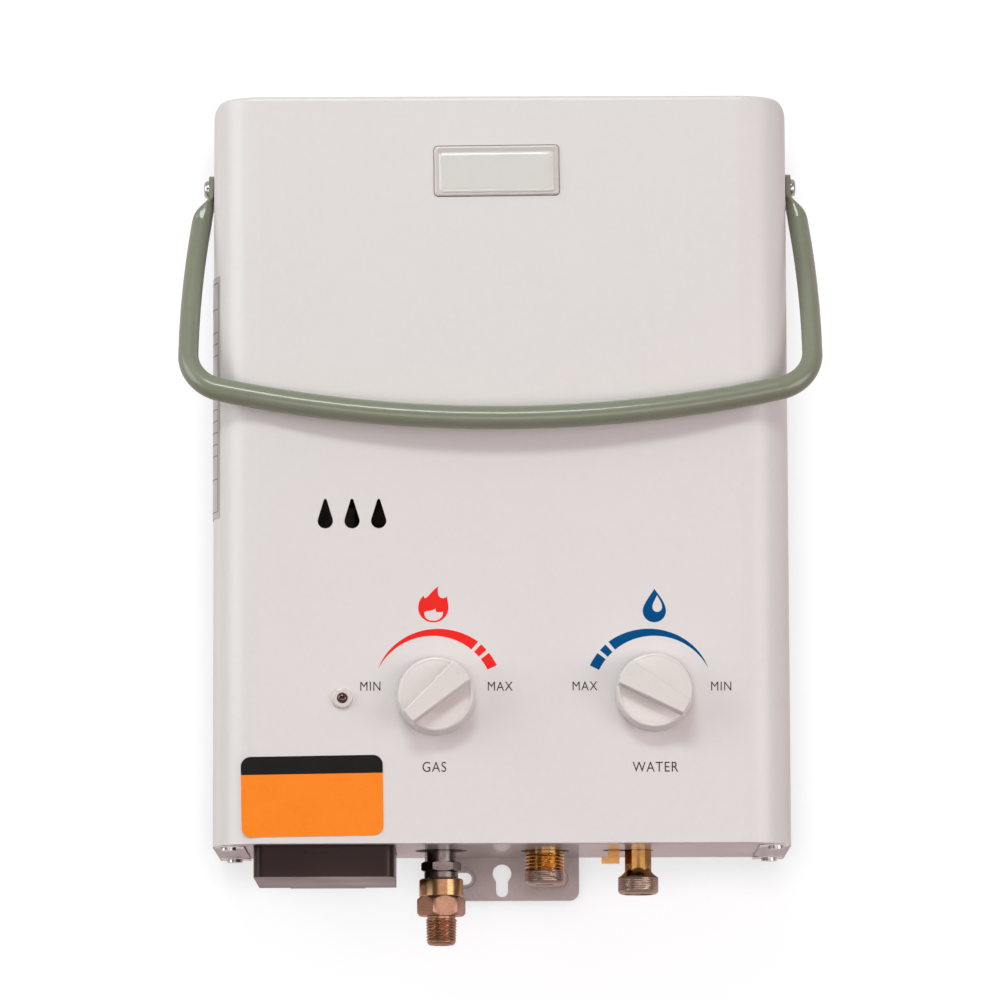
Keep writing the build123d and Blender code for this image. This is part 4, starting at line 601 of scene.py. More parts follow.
@dataclass(frozen=True)
class Station:
    """One level on a turned part: height, radius (half the flats of a hexagon) and cut.

    A hexagon's corners are turned down to the limit, and its flats swell to the least radius.
    """

    z: float
    radius: float
    section: Section = Section.ROUND
    thread: float = 0.0
    limit: float = 99.0
    least: float = 0.0

    def towards(self, other: "Station", share: float) -> "Station":
        """Station between this one and another.

        Args:
            other: The next station.
            share: How far along it lies, 0 to 1.

        Returns:
            The station, with this one's section.
        """
        z, radius, thread, limit = (
            a + (b - a) * share
            for a, b in zip((self.z, self.radius, self.thread, self.limit),
                            (other.z, other.radius, other.thread, other.limit)))
        return Station(z, radius, self.section, thread, limit, self.least)


def cuts(*levels: Point2, section: Section = Section.ROUND,
         thread: float = 0.0) -> list[Station]:
    """Stations of one section and thread, from pairs of height and radius."""
    return [Station(z, radius, section, thread) for z, radius in levels]


@dataclass
class TurnedPart:
    """A part turned about an upright axis, with hexagons and real helical threads."""

    name: str
    centre: Point2
    stations: list[Station]
    bore: float
    pitch: float = 1.8
    sides: int = 96
    level_step: float = 0.18
    chamfer_steps: int = 6
    turn: float = 0.0

    def radius_at(self, angle: float, station: Station) -> float:
        """Radius of the surface.

        Args:
            angle: Place round the axis, in radians.
            station: Level on the part.

        Returns:
            The radius in millimetres.
        """
        if station.section is Section.HEX:
            face = (angle + pi / 6) % (pi / 3) - pi / 6
            return max(min(station.radius / cos(face), station.limit), station.least)
        if station.thread:
            phase = (station.z / self.pitch + angle / tau) % 1.0
            return station.radius - station.thread * abs(2 * phase - 1)
        return station.radius

    def levels(self) -> list[Station]:
        """All levels, with threads and chamfers divided finely enough for their curves.

        Returns:
            The stations in order.
        """
        out: list[Station] = []
        for here, there in zip(self.stations, self.stations[1:]):
            steps = 1
            if here.thread or there.thread:
                steps = max(ceil(abs(there.z - here.z) / self.level_step), 1)
            elif here.limit != there.limit and here.section is there.section is Section.HEX:
                steps = self.chamfer_steps
            out += [here.towards(there, step / steps) for step in range(steps)]
        return [*out, self.stations[-1]]

    def ring(self, station: Station, in_bore: bool = False) -> list[Point3]:
        """Loop of points round the part.

        Args:
            station: Its level.
            in_bore: True for a loop on the bore, and not on the surface.

        Returns:
            The points in millimetres.
        """
        points = []
        for side in range(self.sides):
            angle = tau * side / self.sides
            radius = self.bore if in_bore else self.radius_at(angle, station)
            points.append((self.centre[0] + radius * cos(angle + self.turn),
                           self.centre[1] + radius * sin(angle + self.turn), station.z))
        return points

    def mesh(self) -> bpy.types.Mesh:
        """Builds the closed mesh, with the bore through it.

        Returns:
            The mesh.
        """
        levels = self.levels()
        rings = [self.ring(station) for station in levels]
        if self.bore:
            rings += [self.ring(levels[-1], True), self.ring(levels[0], True)]
        return shell(self.name, rings, TURNED_EDGE, bool(self.bore))


# ---------------------------------------------------------------- the heater's own pieces
@dataclass
class ControlPanel:
    """Prints round the two knobs: arcs with blocks, pictograms and legends, in millimetres."""

    front_y: float = -115.0
    print_depth: float = 0.06
    gas_centre: Point2 = (-34.9, 74.4)
    water_centre: Point2 = (77.5, 74.1)
    inner_radius: float = 31.1
    arc_start: float = 152.0
    arc_end: float = 50.6
    arc_thickness: float = 5.3
    arc_growth: float = 0.85
    blocks: tuple[Point2, ...] = ((47.3, 41.0), (38.0, 26.2))
    block_radius: float = 36.3
    legend_height: float = 4.8
    title_height: float = 5.3
    legend_width: float = 0.86
    arc_steps: int = 72
    block_steps: int = 8
    drop_steps: int = 16

    def arc(self, centre: Point2, way: int) -> list[list[Point2]]:
        """Outlines of a growing arc and its two blocks.

        Args:
            centre: Middle of the arc.
            way: 1 for the gas side, -1 for its mirror image.

        Returns:
            Three closed outlines.
        """
        def at(radius: float, angle: float) -> Point2:
            """Point on the front at a radius and an angle in degrees."""
            return (centre[0] + way * radius * cos(radians(angle)),
                    centre[1] + radius * sin(radians(angle)))

        def span(first: float, last: float, steps: int) -> list[float]:
            """Evenly spaced angles between two."""
            return [first + (last - first) * step / steps for step in range(steps + 1)]

        angles = span(self.arc_start, self.arc_end, self.arc_steps)
        sweep = self.arc_start - self.arc_end
        outer = [at(self.inner_radius
                    + self.arc_thickness * ((self.arc_start - a) / sweep) ** self.arc_growth, a)
                 for a in reversed(angles)]
        loops = [[at(self.inner_radius, a) for a in angles] + outer]
        for first, last in self.blocks:
            block = span(first, last, self.block_steps)
            loops.append([at(self.inner_radius, a) for a in block]
                         + [at(self.block_radius, a) for a in reversed(block)])
        return loops

    def flame(self) -> list[list[Point2]]:
        """Outlines of the three-tongued flame pictogram and of the small flame left bare in it.

        Returns:
            Two closed outlines.
        """
        outer = bezier((
            ((-34.6, 129.4), (-31.7, 130.9), (-32.5, 129.8)),
            ((-32.6, 125.3), (-30.2, 124.8), (-29.2, 124.6)),
            ((-28.2, 125.0), (-27.3, 125.7), (-27.6, 124.2)),
            ((-26.7, 122.0), (-26.8, 119.6), (-27.1, 115.5)),
            ((-30.2, 112.4), (-34.4, 112.4), (-38.9, 112.4)),
            ((-42.2, 115.8), (-42.2, 119.8), (-42.1, 122.6)),
            ((-41.0, 125.0), (-39.3, 126.1), (-39.3, 125.4)),
            ((-39.1, 124.8), (-38.4, 124.8), (-36.9, 125.5)),
        ))
        inner = bezier((
            ((-34.6, 118.6), (-33.2, 119.6), (-33.5, 118.6)),
            ((-33.2, 117.7), (-32.4, 117.6), (-31.6, 117.5)),
            ((-30.3, 117.6), (-29.6, 117.9), (-29.3, 115.4)),
            ((-31.2, 113.2), (-34.4, 113.2), (-37.6, 113.2)),
            ((-39.6, 115.2), (-39.0, 117.9), (-38.6, 117.8)),
            ((-38.4, 117.9), (-37.9, 118.3), (-36.4, 118.0)),
        ))
        return [outer, inner]

    def drop(self) -> list[list[Point2]]:
        """Outlines of the water drop pictogram and its gleam.

        Returns:
            Two closed outlines.
        """
        def one(tip: Point2, middle: float, low: float, half: float, tall: float) -> list[Point2]:
            """Outline of a drop with a round belly.

            Args:
                tip: Its pointed top.
                middle: X of the belly's middle.
                low: Z of its lowest point.
                half: Radius of the belly.
                tall: How far the belly's curve reaches up.

            Returns:
                The outline's points.
            """
            belly = low + half
            handle = half * CIRCLE_HANDLE
            return bezier((
                ((tip[0] - 0.5, tip[1] - 1.6), tip, (tip[0] + 0.8, tip[1] - 1.8)),
                ((middle + half, belly + tall), (middle + half, belly),
                 (middle + half, belly - handle)),
                ((middle + handle, low), (middle, low), (middle - handle, low)),
                ((middle - half, belly - handle), (middle - half, belly),
                 (middle - half, belly + tall * 0.8)),
            ), self.drop_steps)

        return [one((77.9, 129.3), 77.8, 112.1, 5.9, 4.6),
                one((79.2, 126.0), 79.3, 117.4, 2.45, 2.6)]

    def build(self) -> list[bpy.types.Object]:
        """Prints the panel on the cover.

        Returns:
            The prints.
        """
        shapes = (("gas_arc_print", INK_RED, self.arc(self.gas_centre, 1)),
                  ("water_arc_print", INK_BLUE, self.arc(self.water_centre, -1)),
                  ("flame_print", INK_RED, self.flame()), ("drop_print", INK_BLUE, self.drop()))
        made = [piece(flat_print(name, loops, self.print_depth, self.front_y), ink, "white_enamel")
                for name, ink, loops in shapes]
        legends = (("gas_min", "MIN", (-66.5, 79.9)), ("gas_max", "MAX", (-0.6, 79.7)),
                   ("water_max", "MAX", (42.4, 79.7)), ("water_min", "MIN", (111.5, 79.4)),
                   ("gas_legend", "GAS", (-34.1, 38.7)), ("water_legend", "WATER", (77.9, 38.4)))
        for name, letters, centre in legends:
            height = self.title_height if name.endswith("legend") else self.legend_height
            mesh = words(name, letters, height, centre, self.print_depth, self.front_y,
                         self.legend_width)
            made.append(piece(mesh, INK_DARK, "white_enamel"))
        return made


@dataclass
class FrontSticker:
    """The blank two-tone sticker on the front, in millimetres."""

    front_y: float = -115.0
    centre: Point2 = (-96.0, 24.05)
    width: float = 71.9
    height: float = 40.9
    corner: float = 5.0
    band: float = 9.2
    tilt: float = 0.8
    thickness: float = 0.3
    corner_steps: int = 10
    least_edge: float = 1e-6

    def half(self, low: float, high: float) -> list[Point2]:
        """Outline of the sticker between two levels, turned with it.

        Args:
            low: Lower level from its middle.
            high: Upper level from its middle.

        Returns:
            The outline's points.
        """
        whole = rounded(self.width, self.height, self.corner, self.corner_steps)
        kept = [(x, min(max(z, low), high)) for x, z in whole]
        cleaned = [here for before, here in zip([kept[-1], *kept], kept)
                   if hypot(here[0] - before[0], here[1] - before[1]) > self.least_edge]
        return placed(cleaned, self.centre, self.tilt)

    def build(self) -> list[bpy.types.Object]:
        """Lays the film and its dark band on the cover.

        Returns:
            The two pieces.
        """
        top = self.height / 2
        split = top - self.band
        lower, band = (flat_print(name, [self.half(*ends)], self.thickness, self.front_y)
                       for name, ends in (("front_sticker", (-top, split)),
                                          ("front_sticker_band", (split, top))))
        return [piece(lower, FILM_ORANGE, "orange_label", replaces=["front_label"]),
                piece(band, FILM_DARK, "orange_label")]


@dataclass
class Connections:
    """Gas and water connections with real threads and chamfered hexagons, in millimetres."""

    gas: Point2 = (-31.4, -50.0)
    cold: Point2 = (70.3, -50.0)
    hot: Point2 = (22.1, -47.0)
    gas_bottom: float = -47.8
    half_inch: float = 10.4775
    half_inch_pitch: float = 1.814
    half_inch_depth: float = 0.9
    taper_depth: float = 0.7
    nipple_turn: float = radians(96)
    nut_turn: float = radians(101)
    stem_turn: float = radians(30)
    stem_flats: float = 5.9
    flare: Point2 = (-8.2, -12.8)
    flare_steps: int = 14
    flare_bow: float = 1.6
    corner_trim: float = 1.02

    def hexagon(self, high: float, low: float, half: float, chamfer: float) -> list[Station]:
        """Stations of a hexagon with turned chamfers at both ends.

        Args:
            high: Upper level.
            low: Lower level.
            half: Half its width over flats.
            chamfer: Height of each chamfer.

        Returns:
            Its stations from the top down.
        """
        full, trimmed = half / cos(pi / 6), half * self.corner_trim
        return [Station(z, half, Section.HEX, limit=limit)
                for z, limit in ((high, trimmed), (high - chamfer, full), (low + chamfer, full),
                                 (low, trimmed))]

    def nipple(self) -> TurnedPart:
        """Gas nipple: neck, hexagon, collar and the shank that the nut turns on."""
        return TurnedPart("gas_nipple_turned", self.gas, [
            *cuts((40.0, 5.5), (32.4, 5.5), (32.4, 7.45), (-4.8, 7.45)),
            *self.hexagon(-4.8, -9.7, 9.0, 0.7),
            *cuts((-9.7, 8.2), (-10.2, 8.75), (-12.9, 8.75), (-13.3, 8.4), (-13.3, 7.5),
                  (-21.0, 7.5)),
        ], bore=4.0, turn=self.nipple_turn)

    def seal(self) -> TurnedPart:
        """Thin bright washer between the nipple's collar and the swivel nut."""
        return TurnedPart("gas_seal_washer", self.gas, cuts(
            (-13.3, 8.7), (-13.35, 8.95), (-13.45, 8.95), (-13.5, 8.7)), bore=7.5)

    def sleeve(self) -> TurnedPart:
        """Round upper length of the swivel nut."""
        return TurnedPart("gas_swivel_sleeve", self.gas, cuts(
            (-13.6, 10.6), (-14.3, 11.35), (-22.3, 11.4), (-22.9, 11.0)), bore=7.6)

    def nut(self) -> TurnedPart:
        """Hexagon of the swivel nut."""
        return TurnedPart("gas_swivel_hexagon", self.gas, self.hexagon(-22.9, -32.8, 11.0, 1.5),
                          bore=6.1, turn=self.nut_turn)

    def adapter(self) -> TurnedPart:
        """Gas adapter: shank inside the nut, neck and a tapered thread."""
        return TurnedPart("gas_adapter_threaded", self.gas, [
            *cuts((-21.0, 7.5), (-24.0, 7.5), (-24.0, 6.0), (-33.0, 6.0), (-33.0, 7.4),
                  (-34.2, 7.2), (-34.6, 8.0)),
            *cuts((-35.2, 8.1), (-45.6, 7.8), thread=self.taper_depth),
            *cuts((-46.3, 7.3), (-47.2, 6.9), (self.gas_bottom, 6.0)),
        ], bore=4.0, pitch=1.5)

    def outlet(self) -> TurnedPart:
        """Hot water outlet: hexagon above, neck and a parallel thread."""
        crest, depth = self.half_inch, self.half_inch_depth
        return TurnedPart("hot_outlet_threaded", self.hot, [
            *cuts((38.0, 8.0), (32.4, 8.0)),
            *cuts((32.4, 12.0), (24.0, 12.0), section=Section.HEX),
            *cuts((24.0, 9.6), (-0.6, 9.6), (-0.6, crest - 0.6)),
            *cuts((-1.0, crest), (-9.0, crest), thread=depth), *cuts((-9.1, crest - depth)),
        ], bore=5.0, pitch=self.half_inch_pitch)

    def outlet_end(self) -> TurnedPart:
        """Ringed end of the hot water outlet."""
        crest = self.half_inch
        return TurnedPart("hot_outlet_end", self.hot, [
            *cuts((-9.1, crest - 0.5), (-9.5, crest)),
            *cuts((-9.6, crest), (-14.4, crest), thread=0.16),
            *cuts((-14.8, crest), (-15.6, crest - 0.25), (-16.2, crest - 0.8),
                  (-16.5, crest - 1.6)),
        ], bore=5.0, pitch=1.0)

    def stem(self) -> TurnedPart:
        """Hexagonal stem of the cold water inlet with its flare.

        Returns:
            The part.
        """
        flats, (start, end) = self.stem_flats, self.flare
        growth = self.half_inch - 0.7 - flats
        flare = [Station(start + (end - start) * t, flats, Section.HEX,
                         least=flats + growth * t**self.flare_bow)
                 for t in (step / self.flare_steps for step in range(1, self.flare_steps + 1))]
        return TurnedPart("cold_inlet_stem", self.cold, [
            *cuts((40.0, 5.0), (32.4, 5.0)),
            *cuts((32.4, flats), (start, flats), section=Section.HEX), *flare,
        ], bore=4.0, turn=self.stem_turn)

    def collar(self) -> TurnedPart:
        """Ringed collar of the cold water inlet."""
        crest = self.half_inch
        return TurnedPart("cold_inlet_collar", self.cold, [
            *cuts((-12.7, crest - 0.7), (-13.0, crest - 0.35), (-13.5, crest - 0.05),
                  (-13.9, crest)),
            *cuts((-14.1, crest), (-19.4, crest), thread=0.14),
            *cuts((-19.8, crest), (-20.6, crest - 0.2), (-21.3, crest - 0.7),
                  (-21.7, crest - 1.4), (-21.9, crest - 2.2)),
        ], bore=7.5, pitch=0.9)

    def build(self) -> list[bpy.types.Object]:
        """Screws the connections in.

        Returns:
            The pieces, from the gas inlet to the cold water inlet.
        """
        parts = (
            (self.nipple(), ZINC_GREY, "grey_zinc", "heater", ["gas_inlet_nipple"]),
            (self.seal(), WASHER_NYLON, "grey_zinc", "heater", []),
            (self.sleeve(), BRASS_PICKLED, "yellow_brass", "swivel", ["gas_swivel_nut"]),
            (self.nut(), BRASS_STAMPED, "yellow_brass", "swivel", []),
            (self.adapter(), BRASS_STAMPED, "forged_brass", "heater", ["gas_adapter"]),
            (self.outlet(), BRASS_TURNED, "yellow_brass", "heater", ["hot_water_outlet"]),
            (self.outlet_end(), BRASS_DULLED, "yellow_brass", "heater", []),
            (self.stem(), BRASS_TURNED, "forged_brass", "heater", ["cold_water_inlet"]),
            (self.collar(), BRASS_DULLED, "forged_brass", "heater", []),
        )
        return [piece(part.mesh(), *rest) for part, *rest in parts]


@dataclass
class ValveSpring:
    """Return spring behind the gas valve's disc, in millimetres."""

    left: float = -51.2
    right: float = -31.85
    centre: Point2 = (-68.0, 52.0)
    radius: float = 7.0
    wire: float = 0.75
    turns: float = 5.0
    travel: float = 3.0
    sides: int = 10
    steps: int = 180

    def build(self) -> list[bpy.types.Object]:
        """Winds the spring.

        Returns:
            The spring.
        """
        rings = []
        length = self.right - self.left
        for step in range(self.steps + 1):
            turn = tau * self.turns * step / self.steps
            x = self.left + length * step / self.steps
            ring = []
            for angle in (tau * side / self.sides for side in range(self.sides)):
                reach = self.radius + self.wire * cos(angle)
                ring.append((x + self.wire * sin(angle), self.centre[0] + reach * cos(turn),
                             self.centre[1] + reach * sin(turn)))
            rings.append(ring)
        made = piece(shell("valve_spring_wound", rings, WIRE_EDGE), STAINLESS_DRAWN, "stainless",
                     replaces=["gas_valve_spring"])
        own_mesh(made)
        return [made]


@dataclass
class Knob:
    """A moulded control knob: round base with a raised tapered grip, in millimetres."""

    name: str
    body: str
    centre: Point2
    pointer: float
    back_y: float = -115.8
    base_radius: float = 20.0
    face_radius: float = 18.8
    disc: float = 10.5
    edge: float = 1.3
    grip_height: float = 8.0
    grip_wide: float = 6.8
    grip_narrow: float = 4.0
    grip_reach: float = 18.75
    grip_edge: float = 0.9
    base_sides: int = 160
    rim_steps: int = 10
    grip_steps: int = 8
    end_steps: int = 24
    side_steps: int = 16
    settle_steps: int = 12
    # Height against the disc and radius against the rim, inward over the fine ring.
    ring_profile: tuple[Point2, ...] = ((0.0, -0.25), (-0.12, -0.45), (-0.12, -0.65),
                                        (-0.02, -0.9))
    # Height against the disc and how far the grip's foot flares out there.
    foot_profile: tuple[Point2, ...] = ((-0.3, -0.45), (0.25, -0.2), (0.7, -0.05))
    # Radius and height against the grip's top, for the raised pointer.
    mark_profile: tuple[Point2, ...] = ((1.0, -0.35), (1.0, -0.1), (0.75, -0.02), (0.3, 0.0))
    mark_inset: float = 4.0
    draft: float = 0.25

    def stand(self, mesh: bpy.types.Mesh) -> bpy.types.Mesh:
        """Turns a knob mesh from lying on its back to its place on the front.

        Args:
            mesh: The mesh, changed in place.

        Returns:
            The same mesh.
        """
        mesh.transform(Matrix.Rotation(radians(90), 4, "X"))
        mesh.transform(Matrix.Translation((self.centre[0] * MM, self.back_y * MM,
                                           self.centre[1] * MM)))
        return mesh

    def base(self) -> bpy.types.Mesh:
        """Tapered round base with a rounded rim and a fine ring inside it.

        Returns:
            The mesh.
        """
        slope = (self.base_radius - self.face_radius) / self.disc
        foot = self.disc - self.edge
        shoulder = self.base_radius - slope * foot
        rim = [(foot + self.edge * sin(a), shoulder - self.edge * (1 - cos(a)))
               for a in (pi / 2 * n / self.rim_steps for n in range(1, self.rim_steps + 1))]
        inside = rim[-1][1]
        levels = cuts((0.0, self.base_radius - 0.3), (0.3, self.base_radius), (foot, shoulder),
                      *rim,
                      *((self.disc + rise, inside + step) for rise, step in self.ring_profile),
                      (self.disc + 0.05, inside * 0.5), (self.disc + 0.06, 0.4))
        return self.stand(TurnedPart(f"{self.name}_base", (0.0, 0.0), levels, bore=0.0,
                                     sides=self.base_sides).mesh())

    def outline(self, inset: float) -> list[Point2]:
        """Outline of the grip, moved in from its sides, pointing along +X.

        Args:
            inset: How far it moves in, in millimetres.

        Returns:
            The outline's points.
        """
        reach = self.grip_reach - inset
        wide, narrow = self.grip_wide - inset, self.grip_narrow - inset
        slope = (wide - narrow) / (2 * self.grip_reach)
        middle = (wide + narrow) / 2

        def end(way: int) -> float:
            """Angle on a round end where the upper side meets it.

            Args:
                way: 1 for the end at the pointer, -1 for the other.

            Returns:
                The angle in radians.
            """
            x = way * reach
            for _ in range(self.settle_steps):
                x = way * (reach**2 - (middle + slope * x) ** 2) ** 0.5
            return atan2(middle + slope * x, x)

        def arc(start: float, sweep: float) -> list[Point2]:
            """Points on a round end, clockwise from an angle."""
            angles = (start - sweep * n / self.end_steps for n in range(self.end_steps + 1))
            return [(reach * cos(a), reach * sin(a)) for a in angles]

        def side(start: Point2, stop: Point2) -> list[Point2]:
            """Points between the ends of a straight side."""
            return [(start[0] + (stop[0] - start[0]) * n / self.side_steps,
                     start[1] + (stop[1] - start[1]) * n / self.side_steps)
                    for n in range(1, self.side_steps)]

        first, last = end(1), end(-1)
        front, rear = arc(first, 2 * first), arc(-last, 2 * (pi - last))
        return front + side(front[-1], rear[0]) + rear + side(rear[-1], front[0])

    def grip(self) -> bpy.types.Mesh:
        """Raised grip with drafted sides and rounded edges.

        Returns:
            The mesh.
        """
        top = self.disc + self.grip_height
        levels = [(self.disc + rise, inset) for rise, inset in self.foot_profile]
        levels += [(top - self.grip_edge * (1 - sin(a)),
                    self.draft + self.grip_edge * (1 - cos(a)))
                   for a in (pi / 2 * n / self.grip_steps for n in range(self.grip_steps + 1))]
        levels.append((top, self.grip_edge + 1.2))
        rings = [[(x, z, height)
                  for x, z in placed(self.outline(inset), (0.0, 0.0), self.pointer)]
                 for height, inset in levels]
        return self.stand(shell(f"{self.name}_grip", rings, GRIP_EDGE))

    def mark(self) -> bpy.types.Mesh:
        """Small raised pointer on the grip.

        Returns:
            The mesh.
        """
        reach = self.grip_reach - self.mark_inset
        angles = [tau * n / self.end_steps for n in range(self.end_steps)]
        rings = [[(x, z, self.disc + self.grip_height + rise) for x, z in placed(
                  [(reach + r * cos(a), r * sin(a)) for a in angles], (0.0, 0.0), self.pointer)]
                 for r, rise in self.mark_profile]
        return self.stand(shell(f"{self.name}_mark", rings, STRIP_EDGE))

    def build(self) -> list[bpy.types.Object]:
        """Moulds the knob.

        Returns:
            Its base, grip and pointer.
        """
        return [piece(self.base(), KNOB_ABS, "knob_white", self.body, [self.name]),
                piece(self.grip(), KNOB_ABS, "knob_white", self.body),
                piece(self.mark(), KNOB_ABS, "knob_white", self.body)]


@dataclass
class Badge:
    """Bare badge with a clear domed resin face, in millimetres."""

    centre: Point2 = (-1.6, 345.4)
    width: float = 64.0
    height: float = 26.1
    corner: float = 2.0
    front_y: float = -115.0
    thickness: float = 2.2
    steps: int = 14
    frame_rise: float = 1.3
    frame_shoulder: float = 1.3
    window: Point2 = (59.0, 21.4)
    window_drop: float = 0.9
    shoulder: float = 2.6
    tilt: float = 0.5
    corner_steps: int = 10
    print_steps: int = 8
    bow: float = 1.5
    swell: float = 2.2
    lip: float = 0.3
    corner_growth: float = 0.35
    edge_margin: float = 0.5
    edge_depth: float = 0.25
    shade_size: Point2 = (60.6, 2.2)
    shade_corner: float = 1.0
    shade_drop: float = 2.3
    shade_depth: float = 0.05
    dome_seat: float = 0.2

    def cushion(self, name: str, size: Point2, drop: float, levels: tuple[float, float],
                shoulder: float) -> bpy.types.Mesh:
        """Rounded pad whose edges curve up to a flat face.

        Args:
            name: Name of the mesh.
            size: Width and height.
            drop: How far its middle lies below the badge's middle.
            levels: Height of its foot and of its face above the cover.
            shoulder: Width of the curved edge.

        Returns:
            The mesh.
        """
        rings = []
        middle = (self.centre[0], self.centre[1] - drop)
        low, high = levels
        for step in range(self.steps + 2):
            t = min(step / self.steps, 1.0)
            inset = shoulder * t**self.bow + (self.lip if step > self.steps else 0.0)
            rise = low + (high - low) * (1 - (1 - t) ** self.swell)
            outline = rounded(size[0] - 2 * inset, size[1] - 2 * inset,
                              self.corner + inset * self.corner_growth, self.corner_steps)
            rings.append([(x, self.front_y - rise, z)
                          for x, z in placed(outline, middle, self.tilt)])
        return shell(name, rings, PAD_EDGE)

    def build(self) -> list[bpy.types.Object]:
        """Sets the badge on the cover: dark edge painted as shadow, a darker frame, a band along
        its top darkened as painted shade, and a clear domed window.

        Returns:
            The pieces.
        """
        # The dark edge round the badge is a painted shadow of the gap under it.
        grown = rounded(self.width + self.edge_margin, self.height + self.edge_margin,
                        self.corner + 0.2, self.print_steps)
        edge = flat_print("badge_edge", [placed(grown, self.centre, self.tilt)], self.edge_depth,
                          self.front_y)
        frame_pad = self.cushion("badge_frame", (self.width, self.height), 0.0,
                                 (0.0, self.frame_rise), self.frame_shoulder)
        # The band along the frame's top is painted shade, darker than the frame.
        level = self.centre[1] + self.height / 2 - self.shade_drop
        band = placed(rounded(*self.shade_size, self.shade_corner, self.print_steps),
                      (self.centre[0], level), self.tilt)
        shade = flat_print("badge_shade", [band], self.shade_depth, self.front_y - self.frame_rise)
        dome = self.cushion("badge_dome", self.window, self.window_drop,
                            (self.frame_rise - self.dome_seat, self.thickness), self.shoulder)
        return [piece(frame_pad, BADGE_FRAME, "badge_face", replaces=["badge"]),
                piece(dome, BADGE_ENAMEL, "badge_face"), piece(shade, BADGE_SHADE, "badge_face"),
                piece(edge, BADGE_EDGE, "badge_face")]


@dataclass
class CornerClips:
    """Bright clips under the screws at the cover's bottom corners, in millimetres."""

    screw_x: float = 139.5
    screw_ys: tuple[float, ...] = (-95.0, -14.0)
    length: float = 15.0
    width: float = 10.0
    sheet: float = 0.5
    overhang: float = 0.45
    curl: float = 1.5
    curl_start: float = 0.7
    curl_power: float = 1.2
    steps: int = 8

    def build(self) -> list[bpy.types.Object]:
        """Slides a clip on at each screw.

        Returns:
            The clips.
        """
        made = []
        for number, (side, screw_y) in enumerate((s, y) for s in (-1, 1) for y in self.screw_ys):
            front, rear = screw_y - self.width / 2, screw_y + self.width / 2
            rings = []
            for t in (step / self.steps for step in range(self.steps + 1)):
                drop = self.curl * max(t - self.curl_start, 0) ** self.curl_power
                x = side * (self.screw_x + self.length * (self.overhang - t))
                rings.append([(x, y, z - drop) for y, z in (
                    (front, -self.sheet), (rear, -self.sheet), (rear, 0.0), (front, 0.0))])
            mesh = shell(f"corner_clip_{number}", rings, STRIP_EDGE)
            made.append(piece(mesh, ZINC_PLATED_STEEL, "zinc_steel"))
        return made


@dataclass
class SideLabel:
    """Ruled lines on the foil label that wraps round the left front edge, in millimetres."""

    bend: Point2 = (-122.5, -90.0)
    radius: float = 25.38
    bottom: float = 168.0
    height: float = 125.0
    rear: float = -48.0
    wrap: float = 32.0
    line: float = 0.45
    rows: tuple[float, ...] = (3.0, 20.0, 32.0, 38.0, 44.0, 50.0, 56.0, 68.0, 84.0, 90.0, 96.0,
                               108.0, 121.5)
    margins: Point2 = (2.0, 1.2)
    column: float = 30.0
    rule: float = 0.5
    ink_depth: float = 0.04
    steps: int = 24

    def at(self, along: float, z: float) -> Point3:
        """Point on the label.

        Args:
            along: Distance from its rear edge, forward and round the bend.
            z: Level.

        Returns:
            The point in millimetres.
        """
        flat = self.rear - self.bend[1]
        if along <= flat:
            return (self.bend[0] - self.radius, self.rear - along, z)
        angle = (along - flat) / self.radius
        return (self.bend[0] - self.radius * cos(angle),
                self.bend[1] - self.radius * sin(angle), z)

    def strip(self, name: str, ends: Point2, low: float, high: float) -> bpy.types.Object:
        """Prints a thin strip that follows the label.

        Args:
            name: Name of the piece.
            ends: Its two places along the label.
            low: Lower level.
            high: Upper level.

        Returns:
            The piece.
        """
        rings = []
        for step in range(self.steps + 1):
            x, y, _ = self.at(ends[0] + (ends[1] - ends[0]) * step / self.steps, low)
            out = x - self.ink_depth
            rings.append([(x, y, low), (out, y, low), (out, y, high), (x, y, high)])
        return piece(shell(name, rings, STRIP_EDGE), FILM_INK, "silver_label")

    def build(self) -> list[bpy.types.Object]:
        """Prints the lines across the label and the rules along it.

        Returns:
            The prints.
        """
        start = self.margins[0]
        stop = self.rear - self.bend[1] + radians(self.wrap) * self.radius - self.margins[1]
        levels = [self.bottom + row for row in self.rows]
        lines = [self.strip(f"side_label_line_{number}", (start, stop), z, z + self.line)
                 for number, z in enumerate(levels)]
        rules = [self.strip(f"side_label_rule_{number}", (place, place + self.rule), levels[0],
                            levels[-1])
                 for number, place in enumerate((start, self.column, stop - self.rule))]
        return lines + rules


@dataclass
class HangingTab:
    """Raised bright rims round the tab's two slots, in millimetres."""

    face_y: float = -1.2
    slot_z: float = -9.9
    slot_x: float = 24.4
    slot_length: float = 17.0
    slot_height: float = 6.3
    rim: float = 1.5
    margin: float = 2.2
    rise: float = 0.9
    steps: int = 14
    sides: int = 8
    straight: float = 0.01

    def rim_mesh(self, side: int) -> bpy.types.Mesh:
        """Half-round rim round one slot.

        Args:
            side: -1 for the left slot, 1 for the right.

        Returns:
            The mesh.
        """
        width, height = (size + 2 * self.margin for size in (self.slot_length, self.slot_height))
        outline = placed(rounded(width, height, height / 2 - self.straight, self.steps),
                         (side * self.slot_x, self.slot_z))
        rings = []
        for place, (x, z) in enumerate(outline):
            before, after = outline[place - 1], outline[(place + 1) % len(outline)]
            along = atan2(after[1] - before[1], after[0] - before[0])
            ring = []
            for angle in (tau * turn / self.sides for turn in range(self.sides)):
                out = self.rim / 2 * cos(angle)
                ring.append((x + out * sin(along), self.face_y - self.rise / 2 * sin(angle),
                             z - out * cos(along)))
            rings.append(ring)
        name = f"slot_rim_{'left' if side < 0 else 'right'}"
        return shell(name, rings, WIRE_EDGE, is_looped=True)

    def build(self) -> list[bpy.types.Object]:
        """Sets a rim round each slot."""
        return [piece(self.rim_mesh(side), PLATE_POWDER_COAT, "plate_enamel") for side in (-1, 1)]


